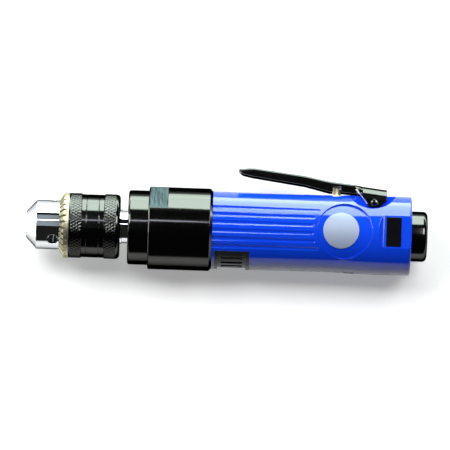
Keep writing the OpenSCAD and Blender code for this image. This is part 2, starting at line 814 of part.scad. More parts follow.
module chuck_nut() {
    front_r = jaw_open_r + (nut_front_x - jaw_tip_x) * tan(jaw_slope) + jaw_reach_r;
    rear_r = front_r + nut_length * tan(jaw_slope);
    outer_r = sleeve_bore_d * half_share - fit_gap;
    color("dimgray")
        difference() {
            turned([
                [front_r, nut_front_x], [outer_r, nut_front_x],
                [outer_r, nut_rear_x], [rear_r, nut_rear_x]
            ]);
            translate([nut_front_x - overrun, -nut_slit * half_share, -sleeve_d])
                cube([nut_length + overrun * 2, nut_slit, sleeve_d * 2]);
        }
}

module chuck_sleeve() {
    outer_r = sleeve_d * half_share;
    band_r = outer_r - sleeve_band_depth;
    band_front_x = sleeve_front_x + sleeve_grip_length;
    band_rear_x = sleeve_rear_x - sleeve_round - sleeve_grip_length;
    color("black")
        difference() {
            turned([
                [sleeve_bore_d * half_share, sleeve_front_x],
                [outer_r, sleeve_front_x],
                [outer_r, band_front_x],
                [band_r, band_front_x + sleeve_band_depth],
                [band_r, band_rear_x - sleeve_band_depth],
                [outer_r, band_rear_x],
                [outer_r, sleeve_rear_x],
                [hub_d * half_share + free_gap, sleeve_rear_x],
                [hub_d * half_share + free_gap, sleeve_rear_x - sleeve_wall],
                [sleeve_bore_d * half_share, sleeve_rear_x - sleeve_wall]
            ]);
            edge_waste(outer_r, sleeve_rear_x, sleeve_round, 1);
        }
}

// Waste between two teeth of the toothed ring, for the upward direction
module tooth_gap() {
    gap_half = ring_tooth_pitch * tooth_gap_share * half_share;
    root_half = gap_half * tooth_root_share;
    translate([ring_front_x, 0, ring_bore_r])
        rotate([0, ring_bevel_angle, 0])
            linear_extrude(ring_d)
                polygon([
                    [-overrun, -gap_half], [ring_tooth_depth * half_share, -root_half],
                    [ring_tooth_depth * half_share, root_half], [-overrun, gap_half]
                ]);
}

module chuck_toothed_ring() {
    color("gainsboro")
        difference() {
            turned([
                [ring_bore_r, ring_front_x],
                [ring_bore_r + end_gap, ring_front_x],
                [ring_d * half_share, ring_front_x + ring_tooth_depth],
                [ring_d * half_share, sleeve_front_x],
                [ring_bore_r, sleeve_front_x]
            ]);
            for (i = [0 : ring_teeth - 1])
                rotate([i * full_turn / ring_teeth, 0, 0])
                    tooth_gap();
        }
}

module spindle() {
    color("silver")
        difference() {
            turned([
                [0, chuck_seat_x - stub_length],
                [stub_d * half_share, chuck_seat_x - stub_length],
                [stub_d * half_share, chuck_seat_x],
                [spindle_d * half_share, chuck_seat_x],
                [spindle_d * half_share, bearing_front_x],
                [journal_r, bearing_front_x],
                [journal_r, carrier_front_x],
                [carrier_d * half_share, carrier_front_x],
                [carrier_d * half_share, carrier_rear_x],
                [0, carrier_rear_x]
            ]);
            each_third()
                translate([carrier_front_x + end_gap, 0, planet_centre_r])
                    rotate([0, 90, 0])
                        cylinder(d = planet_pin_d + fit_gap * 2, h = carrier_length + overrun);
        }
}

module spindle_spacer() {
    color("gray")
        tube(bearing_rear_x + fit_gap, web_front_x - end_gap, journal_d + bush_wall, journal_d + fit_gap * 2);
}

module planet_pins() {
    pin_front_x = carrier_front_x + end_gap * 2;
    color("gray")
        each_third()
            translate([pin_front_x, 0, planet_centre_r])
                rotate([0, 90, 0])
                    cylinder(d = planet_pin_d, h = retainer_front_x + retainer_length - pin_front_x);
}

module planet_retainer() {
    color("gray")
        difference() {
            tube(retainer_front_x, retainer_front_x + retainer_length,
                planet_centre_r * 2 + retainer_width, planet_centre_r * 2 - retainer_width);
            each_third()
                translate([retainer_front_x - overrun, 0, planet_centre_r])
                    rotate([0, 90, 0])
                        cylinder(d = planet_pin_d + fit_gap * 2, h = retainer_length + overrun * 2);
        }
}

// One planet gear for the upward direction
module planet_gear(turn) {
    color("slategray")
        rotate([turn, 0, 0])
            translate([planet_front_x, 0, planet_centre_r])
                rotate([0, 90, 0])
                    difference() {
                        linear_extrude(planet_length)
                            rotate(full_turn / planet_teeth * half_share)
                                playing_gear(planet_teeth);
                        translate([0, 0, -overrun])
                            cylinder(d = planet_pin_d + fit_gap * 2, h = planet_length + overrun * 2);
                    }
}

module planet_gear_1() {
    planet_gear(0);
}

module planet_gear_2() {
    planet_gear(third_turn);
}

module planet_gear_3() {
    planet_gear(third_turn * 2);
}

module front_cap() {
    color("black")
        difference() {
            union() {
                tube(collar_front_x, case_front_x, collar_d);
                tube(collar_front_x, case_front_x + cap_spigot_length, cap_spigot_d);
            }
            edge_waste(collar_d * half_share, collar_front_x, collar_round, -1);
            bore(collar_front_x - overrun, bearing_front_x, spindle_d + free_gap * 2);
            bore(seal_front_x - fit_gap, seal_front_x + seal_length + fit_gap, seal_d + fit_gap * 2);
            bore(seal_front_x + seal_length, bearing_front_x, seal_d - overrun * 2);
            bore(bearing_front_x - fit_gap, case_front_x + cap_spigot_length + overrun,
                front_bearing_d + fit_gap * 2);
        }
}

module spindle_seal() {
    color("tan")
        tube(seal_front_x, seal_front_x + seal_length, seal_d, spindle_d + fit_gap * 2);
}

module front_bearing_outer() {
    color("lightsteelblue")
        bearing_outer(bearing_front_x, front_bearing_d, front_bearing_bore, front_bearing_width);
}

module front_bearing_inner() {
    color("lightsteelblue")
        bearing_inner(bearing_front_x, front_bearing_d, front_bearing_bore, front_bearing_width);
}

module front_bearing_balls() {
    color("silver")
        bearing_balls(bearing_front_x, front_bearing_d, front_bearing_bore, front_bearing_width,
            front_bearing_balls_count);
}

module front_bearing_cage() {
    color("goldenrod")
        bearing_cage(bearing_front_x, front_bearing_d, front_bearing_bore, front_bearing_width,
            front_bearing_balls_count);
}

module spindle_bush() {
    color("peru")
        tube(web_front_x + end_gap, web_rear_x - end_gap, journal_d + bush_wall * 2, journal_d + fit_gap * 2);
}

module gear_case() {
    outer_r = case_d * half_share;
    lip_outer_d = front_bearing_d - fit_gap * 2;
    color("black")
        difference() {
            turned([
                [0, case_front_x],
                [outer_r - case_front_chamfer, case_front_x],
                [outer_r, case_front_x + case_front_chamfer],
                [outer_r, case_rear_x - case_rear_chamfer],
                [outer_r - case_rear_chamfer, case_rear_x],
                [0, case_rear_x]
            ]);
            difference() {
                bore(case_front_x - overrun, web_front_x, cap_spigot_d + fit_gap * 2);
                bore(bearing_rear_x, web_front_x, lip_outer_d);
            }
            bore(case_front_x - overrun, web_front_x, lip_outer_d - bush_wall * 2);
            bore(web_front_x - overrun, web_rear_x + overrun, journal_d + bush_wall * 2 + fit_gap * 2);
            bore(web_rear_x, ring_gear_front_x + overrun, carrier_d + free_gap * 4);
            bore(ring_gear_front_x, motor_front_x + overrun, ring_gear_d + fit_gap * 2);
            bore(motor_front_x - end_gap, case_rear_x + overrun, spigot_d + fit_gap * 2);
            for (side = [0, 1])
                rotate([side * full_turn * half_share - flats_turn, 0, 0])
                    translate([case_front_x + flats_setback, -case_d * half_share, flats_across * half_share])
                        cube([flats_length, case_d, case_d]);
        }
}

module ring_gear() {
    color("slategray")
        difference() {
            tube(ring_gear_front_x, ring_gear_rear_x, ring_gear_d);
            along_tool(ring_gear_front_x - overrun)
                linear_extrude(ring_gear_length + overrun * 2)
                    rotate(full_turn / ring_gear_teeth * half_share)
                        gear_outline(ring_gear_teeth, ring_pitch_r - gear_module,
                            ring_pitch_r + gear_module * root_share,
                            PI * gear_module * half_share + gear_play * half_share);
        }
}

// Hole for the dowel between two stations
module dowel_hole(x0, x1, d) {
    translate([0, -cylinder_wall_middle_r, 0])
        bore(x0, x1, d);
}

module front_end_plate() {
    color("gray")
        difference() {
            tube(motor_front_x, front_plate_rear_x, motor_d, shaft_d + free_gap * 4);
            bore(motor_front_x - overrun, front_rotor_bearing_x + rotor_bearing_width,
                rotor_bearing_d + fit_gap);
            dowel_hole(front_plate_rear_x - dowel_depth - end_gap, front_plate_rear_x + overrun,
                dowel_d + fit_gap * 2);
        }
}

module rear_end_plate() {
    color("gray")
        difference() {
            tube(rear_plate_front_x, rear_plate_rear_x, motor_d, shaft_d + free_gap * 4);
            bore(rear_rotor_bearing_x, rear_plate_rear_x + overrun, rotor_bearing_d + fit_gap);
            dowel_hole(rear_plate_front_x - overrun, rear_plate_front_x + dowel_depth + end_gap,
                dowel_d + fit_gap * 2);
            translate([0, (cylinder_bore_d - port_width) * half_share, 0])
                bore(rear_plate_front_x - overrun, rear_plate_rear_x + overrun, port_width);
        }
}

module motor_cylinder() {
    color("gray")
        difference() {
            tube(front_plate_rear_x, rear_plate_front_x, motor_d);
            translate([0, bore_offset, 0])
                bore(front_plate_rear_x - overrun, rear_plate_front_x + overrun, cylinder_bore_d);
            dowel_hole(front_plate_rear_x - overrun, rear_plate_front_x + overrun, dowel_d + fit_gap * 2);
            for (i = [-1 : 1])
                translate([front_plate_rear_x + port_length, 0, i * port_width * 2])
                    along_lever()
                        linear_extrude(motor_d)
                            square([port_length, port_width], center = true);
        }
}

module cylinder_dowel() {
    color("silver")
        dowel_hole(front_plate_rear_x - dowel_depth, rear_plate_front_x + dowel_depth, dowel_d);
}

// Vane of the rotor for the upward direction, or its slot when grown and raised
module vane_blank(x0, x1, growth = 0, raise = 0) {
    top_r = rotor_d * half_share - end_gap;
    translate([x0, -vane_thickness * half_share - growth, top_r - vane_depth - growth])
        cube([x1 - x0, vane_thickness + growth * 2, vane_depth + growth + raise]);
}

module rotor() {
    rotor_front_x = front_plate_rear_x + end_gap;
    rotor_rear_x = rear_plate_front_x - end_gap;
    color("dimgray")
        difference() {
            union() {
                along_tool(planet_front_x)
                    linear_extrude(retainer_front_x + retainer_length - planet_front_x)
                        playing_gear(sun_teeth);
                tube(retainer_front_x + retainer_length, rear_plate_rear_x, shaft_d);
                tube(rotor_front_x, rotor_rear_x, rotor_d);
            }
            for (i = [0 : vane_count - 1])
                rotate([i * full_turn / vane_count, 0, 0])
                    vane_blank(rotor_front_x - overrun, rotor_rear_x + overrun, fit_gap, overrun);
        }
}

module rotor_vanes() {
    color("saddlebrown")
        for (i = [0 : vane_count - 1])
            rotate([i * full_turn / vane_count, 0, 0])
                vane_blank(front_plate_rear_x + end_gap, rear_plate_front_x - end_gap);
}

module rotor_front_bearing_outer() {
    color("lightsteelblue")
        bearing_outer(front_rotor_bearing_x, rotor_bearing_d, rotor_bearing_bore, rotor_bearing_width);
}

module rotor_front_bearing_inner() {
    color("lightsteelblue")
        bearing_inner(front_rotor_bearing_x, rotor_bearing_d, rotor_bearing_bore, rotor_bearing_width);
}

module rotor_front_bearing_balls() {
    color("silver")
        bearing_balls(front_rotor_bearing_x, rotor_bearing_d, rotor_bearing_bore, rotor_bearing_width,
            rotor_bearing_balls_count);
}

module rotor_front_bearing_cage() {
    color("goldenrod")
        bearing_cage(front_rotor_bearing_x, rotor_bearing_d, rotor_bearing_bore, rotor_bearing_width,
            rotor_bearing_balls_count);
}

module rotor_rear_bearing_outer() {
    color("lightsteelblue")
        bearing_outer(rear_rotor_bearing_x, rotor_bearing_d, rotor_bearing_bore, rotor_bearing_width);
}

module rotor_rear_bearing_inner() {
    color("lightsteelblue")
        bearing_inner(rear_rotor_bearing_x, rotor_bearing_d, rotor_bearing_bore, rotor_bearing_width);
}

module rotor_rear_bearing_balls() {
    color("silver")
        bearing_balls(rear_rotor_bearing_x, rotor_bearing_d, rotor_bearing_bore, rotor_bearing_width,
            rotor_bearing_balls_count);
}

module rotor_rear_bearing_cage() {
    color("goldenrod")
        bearing_cage(rear_rotor_bearing_x, rotor_bearing_d, rotor_bearing_bore, rotor_bearing_width,
            rotor_bearing_balls_count);
}

module rear_gasket() {
    color("darkolivegreen")
        tube(rear_plate_rear_x, motor_rear_x, motor_d, plenum_d);
}

// Outside of the housing before its cuts
module housing_blank() {
    difference() {
        turned([
            [0, motor_front_x],
            [spigot_d * half_share, motor_front_x],
            [spigot_d * half_share, case_rear_x],
            [housing_front_r, case_rear_x],
            [waist_r, waist_x],
            [housing_rear_d * half_share, housing_rear_x - pad_length],
            [housing_rear_d * half_share, housing_rear_x],
            [0, housing_rear_x]
        ]);
        edge_waste(housing_rear_d * half_share, housing_rear_x, housing_round, 1);
    }
}

// Waste of the flutes on the upper side
module flutes() {
    for (i = [0 : flute_count - 1]) {
        turn = (i - (flute_count - 1) * half_share) * flute_pitch;
        across = housing_front_r * sin(turn);
        end_x = recess_x - sqrt(flute_end_radius * flute_end_radius - across * across);
        rotate([-turn, 0, 0])
            translate([0, 0, flute_axis_r]) {
                bore(case_rear_x - overrun, end_x, flute_r * 2);
                translate([end_x, 0, 0])
                    sphere(r = flute_r);
            }
    }
}

// Waste of the round recess and the flat pad on the upper side
module side_cuts() {
    difference() {
        translate([recess_x, 0, 0])
            cylinder(d = recess_d, h = housing_rear_d);
        bore(recess_x - recess_d, recess_x + recess_d, recess_floor_r * 2);
    }
    pad_front_x = housing_rear_x - pad_length;
    translate([pad_front_x + pad_round, -housing_rear_d * half_share, pad_height])
        cube([pad_length, housing_rear_d, pad_round]);
    along_lever(0, -housing_rear_d * half_share)
        translate([pad_front_x + pad_round, -pad_height - pad_round, 0])
            cylinder(r = pad_round, h = housing_rear_d);
}

// Waste of the scoops beside the lever ears and the grooves under the lever sides
module lever_cuts() {
    scoop_width = housing_rear_d * half_share - boss_width * half_share;
    groove_inner = lever_width * half_share - sheet - free_gap;
    groove_width = sheet + free_gap * 2;
    for (side = [0, 1])
        mirror([0, 0, side]) {
            translate([pivot_x - scoop_reach, scoop_floor + scoop_radius, boss_width * half_share])
                cylinder(r = scoop_radius, h = scoop_width);
            translate([pivot_x - ear_reach - groove_length, groove_floor, groove_inner])
                cube([groove_length, housing_front_d, groove_width]);
        }
}

// Waste of the valve bores, air passages and the regulator bore
module air_cuts() {
    along_lever(valve_x, plunger_bush_floor)
        cylinder(d = plunger_bush_d + fit_gap * 2, h = housing_front_d);
    along_lever(valve_x, seat_height)
        cylinder(d = upper_chamber_d, h = plunger_bush_floor);
    along_lever(valve_x, -lower_chamber_depth)
        cylinder(d = lower_chamber_d, h = lower_chamber_depth + seat_height + overrun);
    translate([0, feed_height, 0])
        bore(motor_rear_x, valve_x, feed_d);
    bore(motor_rear_x - overrun, motor_rear_x + plenum_depth, plenum_d);
    translate([0, -passage_depth, 0])
        bore(valve_x, inlet_bore_x, passage_d);
    along_lever(regulator_x, -housing_front_d)
        cylinder(d = regulator_d + fit_gap * 2, h = housing_front_d - regulator_end + end_gap);
    bore(inlet_bore_x - screen_space, housing_rear_x, screen_space_d);
    bore(inlet_bore_x, housing_rear_x + overrun, inlet_spigot_d + fit_gap * 2);
}

module housing() {
    color("royalblue")
        difference() {
            housing_blank();
            bore(motor_front_x - overrun, motor_rear_x, motor_bore_d);
            for (side = [0, 1])
                mirror([0, 0, side]) {
                    flutes();
                    side_cuts();
                }
            lever_cuts();
            air_cuts();
            belly_shell(window_front_x, window_front_x + window_length,
                rim_inner_r, housing_front_d, window_half_angle);
            belly_shell(window_front_x + deflector_rim, window_front_x + window_length - deflector_rim,
                motor_d * half_share - overrun, housing_front_d, window_inner_angle);
            translate([pivot_x, pivot_height, -ear_width])
                cylinder(d = lever_pin_d + fit_gap * 2, h = ear_width * 2);
        }
}

module exhaust_deflector() {
    turn_gap = belly_turn(fit_gap);
    slot_front_x = window_front_x + deflector_rim * 4;
    slot_length = window_length - deflector_rim * 8;
    color("dimgray")
        difference() {
            union() {
                belly_shell(window_front_x + fit_gap, window_front_x + window_length - fit_gap,
                    rim_inner_r + fit_gap, housing_front_r - fit_gap, window_half_angle - turn_gap);
                belly_shell(window_front_x + deflector_rim + fit_gap,
                    window_front_x + window_length - deflector_rim - fit_gap,
                    grille_r - deflector_wall, housing_front_r - fit_gap, window_inner_angle - turn_gap);
            }
            belly_shell(window_front_x + deflector_rim * 2,
                window_front_x + window_length - deflector_rim * 2,
                grille_r, housing_front_d, window_inner_angle - belly_turn(deflector_rim));
            for (i = [0 : deflector_slots - 1])
                rotate([(i - (deflector_slots - 1) * half_share) * deflector_slot_pitch, 0, 0])
                    translate([slot_front_x, -housing_front_d, -deflector_slot_width * half_share])
                        cube([slot_length, housing_front_d, deflector_slot_width]);
        }
}

module exhaust_felt() {
    felt_top_r = grille_r - deflector_wall - fit_gap;
    color("tan")
        belly_shell(window_front_x + deflector_rim * 2,
            window_front_x + window_length - deflector_rim * 2,
            felt_top_r - felt_thickness, felt_top_r, window_inner_angle - belly_turn(deflector_rim));
}

module name_disc() {
    color("gainsboro")
        intersection() {
            translate([disc_x, 0, 0])
                cylinder(d = disc_d, h = housing_rear_d);
            tube(disc_x - disc_d, disc_x + disc_d,
                (recess_floor_r + fit_gap + disc_thickness) * 2, (recess_floor_r + fit_gap) * 2);
        }
}

module side_label() {
    label_front_x = housing_rear_x - label_setback - label_length * half_share;
    color("black")
        translate([label_front_x, -label_width * half_share, pad_height])
            cube([label_length, label_width, label_thickness]);
}

// Side view of the lever, measured from the pin
module lever_side() {
    polygon([
        [-lever_reach, tip_rise],
        [-lever_reach + tip_slant, tip_rise - tip_drop],
        [-lever_reach + crest_setback, crest_rise - side_height],
        [-bend_reach, bend_rise - side_height],
        [-dip_reach, dip_rise - side_height],
        [-ear_reach, dip_rise - side_height],
        [-ear_corner_reach, ear_corner_rise],
        [-ear_foot, -ear_drop],
        [ear_foot, -ear_drop],
        [heel_reach, heel_edge_rise],
        [heel_reach, heel_rise],
        [-ear_reach, ear_rise],
        [-dip_reach, dip_rise],
        [-bend_reach, bend_rise],
        [-lever_reach + crest_setback, crest_rise]
    ]);
}

// Side view of the room under the top plate of the lever
module lever_room() {
    polygon([
        [-lever_reach - overrun, tip_rise - sheet - overrun],
        [-lever_reach - overrun, -lever_reach],
        [heel_reach + overrun, -lever_reach],
        [heel_reach + overrun, heel_rise - sheet],
        [-ear_reach, ear_rise - sheet],
        [-dip_reach, dip_rise - sheet],
        [-bend_reach, bend_rise - sheet],
        [-lever_reach + crest_setback, crest_rise - sheet]
    ]);
}

// Top view of the lever with its sides stepped out to the ears, narrowed by the given amount
module lever_plan(narrowing) {
    front_half = lever_width * half_share - narrowing;
    ear_half = ear_width * half_share - narrowing;
    ear_front = -ear_reach - joggle_length * half_share;
    ear_rear = -ear_reach + joggle_length * half_share;
    polygon([
        [-lever_reach - overrun, -front_half],
        [ear_front, -front_half],
        [ear_rear, -ear_half],
        [heel_reach + overrun * 2, -ear_half],
        [heel_reach + overrun * 2, ear_half],
        [ear_rear, ear_half],
        [ear_front, front_half],
        [-lever_reach - overrun, front_half]
    ]);
}

module throttle_lever() {
    color("black")
        translate([pivot_x, pivot_height, 0])
            difference() {
                intersection() {
                    translate([0, 0, -ear_width])
                        linear_extrude(ear_width * 2)
                            lever_side();
                    along_lever(0, -lever_reach)
                        linear_extrude(lever_reach * 2)
                            lever_plan(0);
                }
                intersection() {
                    translate([0, 0, -ear_width])
                        linear_extrude(ear_width * 2)
                            lever_room();
                    along_lever(0, -lever_reach)
                        linear_extrude(lever_reach * 2)
                            lever_plan(sheet);
                }
                translate([0, 0, -ear_width])
                    cylinder(d = lever_pin_d + fit_gap * 2, h = ear_width * 2);
                translate([-pivot_setback - notch_width * half_share, 0, -ear_width])
                    cube([notch_width, dip_rise - side_height + notch_height, ear_width * 2]);
            }
}

module lever_pin() {
    color("black")
        translate([pivot_x, pivot_height, -ear_width * half_share])
            cylinder(d = lever_pin_d, h = ear_width);
}

module throttle_plunger() {
    color("gold")
        difference() {
            union() {
                along_lever(valve_x, plunger_bush_floor)
                    cylinder(d = plunger_d, h = plunger_top - plunger_bush_floor);
                along_lever(valve_x, poppet_top)
                    cylinder(d = plunger_stem_d, h = plunger_top - poppet_top);
            }
            translate([valve_x + plunger_d * half_share * half_share, plunger_top - plunger_step, -plunger_d])
                cube([plunger_d, plunger_d, plunger_d * 2]);
        }
}

module plunger_bush() {
    groove_d = (plunger_seal_ring_r + fit_gap) * 2 + plunger_seal_section;
    groove_width = plunger_seal_section + fit_gap * 2;
    color("gold")
        difference() {
            along_lever(valve_x, plunger_bush_floor)
                cylinder(d = plunger_bush_d, h = plunger_bush_top - plunger_bush_floor);
            along_lever(valve_x, plunger_bush_floor - overrun)
                cylinder(d = plunger_d + fit_gap * 2, h = plunger_top);
            along_lever(valve_x, plunger_seal_height - groove_width * half_share)
                cylinder(d = groove_d, h = groove_width);
        }
}

module plunger_seal() {
    color("black")
        along_lever(valve_x, plunger_seal_height)
            rotate_extrude()
                translate([plunger_seal_ring_r, 0])
                    circle(d = plunger_seal_section);
}

module valve_seat() {
    color("gold")
        along_lever(valve_x, seat_height)
            difference() {
                cylinder(d = upper_chamber_d - fit_gap * 2, h = seat_thickness);
                translate([0, 0, -overrun])
                    cylinder(d = seat_bore, h = seat_thickness + overrun * 2);
            }
}

module valve_poppet() {
    color("gray")
        union() {
            along_lever(valve_x, poppet_floor)
                cylinder(d = poppet_d, h = poppet_thickness);
            along_lever(valve_x, poppet_floor - poppet_tail_length)
                cylinder(d = poppet_tail_d, h = poppet_tail_length + poppet_thickness);
        }
}

module valve_spring() {
    color("silver")
        along_lever(valve_x, -lower_chamber_depth)
            difference() {
                cylinder(d = spring_d, h = lower_chamber_depth + poppet_floor);
                translate([0, 0, -overrun])
                    cylinder(d = spring_d - spring_wall * 2, h = lower_chamber_depth + overrun * 2);
            }
}

module regulator_screw() {
    groove_width = regulator_seal_section + fit_gap * 2;
    groove_r = regulator_seal_ring_r - regulator_seal_section * half_share - fit_gap;
    color("silver")
        difference() {
            along_lever(regulator_x, -regulator_head)
                cylinder(d = regulator_d, h = regulator_head - regulator_end);
            along_lever(regulator_x, -regulator_seal_depth - groove_width * half_share)
                difference() {
                    cylinder(d = regulator_d + overrun, h = groove_width);
                    cylinder(r = groove_r, h = groove_width);
                }
            translate([0, -passage_depth, 0])
                bore(regulator_x - regulator_d, regulator_x + regulator_d, passage_d - overrun);
            translate([regulator_x, -regulator_head, 0])
                cube([regulator_d * 2, regulator_slot_depth * 2, regulator_slot_width], center = true);
        }
}

module regulator_seal() {
    color("black")
        along_lever(regulator_x, -regulator_seal_depth)
            rotate_extrude()
                translate([regulator_seal_ring_r, 0])
                    circle(d = regulator_seal_section);
}

module inlet_bush() {
    spigot_front_x = housing_rear_x - inlet_spigot_length;
    groove_half = inlet_seal_section * half_share + fit_gap;
    groove_x = housing_rear_x - inlet_seal_setback;
    color("black")
        difference() {
            union() {
                tube(spigot_front_x, housing_rear_x, inlet_spigot_d);
                tube(housing_rear_x, inlet_rear_x, inlet_d);
            }
            edge_waste(inlet_d * half_share, inlet_rear_x, inlet_round, 1);
            bore(inlet_rear_x - inlet_thread_depth, inlet_rear_x + overrun, inlet_thread_d);
            bore(spigot_front_x - overrun, inlet_rear_x, inlet_thread_d - overrun * 2);
            tube(groove_x - groove_half, groove_x + groove_half, inlet_d,
                (inlet_seal_ring_r - groove_half) * 2);
        }
}

module inlet_seal() {
    color("black")
        round_ring(housing_rear_x - inlet_seal_setback, inlet_seal_ring_r, inlet_seal_section);
}

module inlet_screen() {
    color("silver")
        difference() {
            tube(inlet_bore_x + end_gap, inlet_bore_x + end_gap + screen_thickness, inlet_spigot_d);
            for (ring = [1 : screen_rings])
                for (i = [0 : ring * screen_ring_holes - 1])
                    rotate([i * full_turn / (ring * screen_ring_holes), 0, 0])
                        translate([0, 0, ring * screen_hole_d * screen_pitch_share])
                            bore(inlet_bore_x, inlet_bore_x + screen_thickness + overrun, screen_hole_d);
        }
}

chuck_body();
chuck_jaw_1();
chuck_jaw_2();
chuck_jaw_3();
chuck_nut();
chuck_sleeve();
chuck_toothed_ring();
spindle();
spindle_spacer();
planet_pins();
planet_retainer();
planet_gear_1();
planet_gear_2();
planet_gear_3();
front_cap();
spindle_seal();
front_bearing_outer();
front_bearing_inner();
front_bearing_balls();
front_bearing_cage();
spindle_bush();
gear_case();
ring_gear();
front_end_plate();
rotor_front_bearing_outer();
rotor_front_bearing_inner();
rotor_front_bearing_balls();
rotor_front_bearing_cage();
motor_cylinder();
cylinder_dowel();
rotor();
rotor_vanes();
rear_end_plate();
rotor_rear_bearing_outer();
rotor_rear_bearing_inner();
rotor_rear_bearing_balls();
rotor_rear_bearing_cage();
rear_gasket();
housing();
exhaust_deflector();
exhaust_felt();
name_disc();
side_label();
throttle_lever();
lever_pin();
throttle_plunger();
plunger_bush();
plunger_seal();
valve_seat();
valve_poppet();
valve_spring();
regulator_screw();
regulator_seal();
inlet_bush();
inlet_seal();
inlet_screen();
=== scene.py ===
"""Looks of a straight air drill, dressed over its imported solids.

Lengths are millimetres in the size fields and metres in the scene. The tool axis is X, the lever is at +Y
and the tool lies on its side with +Z up.
"""

import logging
import math
from abc import ABC, abstractmethod
from dataclasses import dataclass
from enum import Enum
from typing import Callable, ClassVar, Iterable, Sequence, Union

import bpy
from mathutils import Matrix, Vector


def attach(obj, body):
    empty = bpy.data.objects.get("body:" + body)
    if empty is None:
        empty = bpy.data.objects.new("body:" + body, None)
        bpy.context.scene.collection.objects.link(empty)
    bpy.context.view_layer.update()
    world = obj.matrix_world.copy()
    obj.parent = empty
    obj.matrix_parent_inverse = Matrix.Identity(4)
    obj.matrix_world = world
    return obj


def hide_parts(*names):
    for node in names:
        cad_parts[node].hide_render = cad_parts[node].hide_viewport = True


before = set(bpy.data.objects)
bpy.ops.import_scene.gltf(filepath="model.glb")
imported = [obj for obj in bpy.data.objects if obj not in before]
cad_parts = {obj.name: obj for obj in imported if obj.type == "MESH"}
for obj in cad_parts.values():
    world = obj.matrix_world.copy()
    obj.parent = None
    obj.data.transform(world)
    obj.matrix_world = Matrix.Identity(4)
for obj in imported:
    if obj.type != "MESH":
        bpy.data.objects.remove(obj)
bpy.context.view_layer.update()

MM = 0.001
MM_PER_METRE = 1000.0
TURN = 2.0 * math.pi

Colour = tuple[float, float, float]
Point = tuple[float, float, float]
Span = tuple[float, float]
Line = Sequence[tuple[float, float]]
Radius = Callable[[float, float], float]
Row = tuple[float, Radius]

log = logging.getLogger("air_drill")


class Grain(Enum):
    """Stretch of the fine tool marks on a metal."""

    LATHE = (1.0, 0.02, 0.02)
    ALONG = (0.03, 1.0, 1.0)
    EVEN = (1.0, 1.0, 1.0)


@dataclass(frozen=True)
class Pattern:
    """Scale, detail, roughness and stretch of a noise."""

    scale: float
    detail: float
    roughness: float
    stretch: Point = Grain.EVEN.value


class Value:
    """A number socket of a shader, written in expressions that add Math nodes."""

    def __init__(self, shader: "Shader", socket: bpy.types.NodeSocket) -> None:
        """Keeps the socket and the shader that it belongs to."""
        self.shader = shader
        self.socket = socket

    def __add__(self, other: "Term") -> "Value":
        """Sum."""
        return self.shader.math("ADD", self, other)

    def __radd__(self, other: "Term") -> "Value":
        """Sum with a number in front."""
        return self.shader.math("ADD", other, self)

    def __sub__(self, other: "Term") -> "Value":
        """Difference."""
        return self.shader.math("SUBTRACT", self, other)

    def __rsub__(self, other: "Term") -> "Value":
        """Difference from a number."""
        return self.shader.math("SUBTRACT", other, self)

    def __mul__(self, other: "Term") -> "Value":
        """Product."""
        return self.shader.math("MULTIPLY", self, other)

    def __rmul__(self, other: "Term") -> "Value":
        """Product with a number in front."""
        return self.shader.math("MULTIPLY", other, self)

    def __abs__(self) -> "Value":
        """Size without sign."""
        return self.shader.math("ABSOLUTE", self)

    def clamped(self) -> "Value":
        """The value kept between 0 and 1."""
        return self.shader.math("MINIMUM", self.shader.math("MAXIMUM", self, 0.0), 1.0)


Term = Union[Value, float]


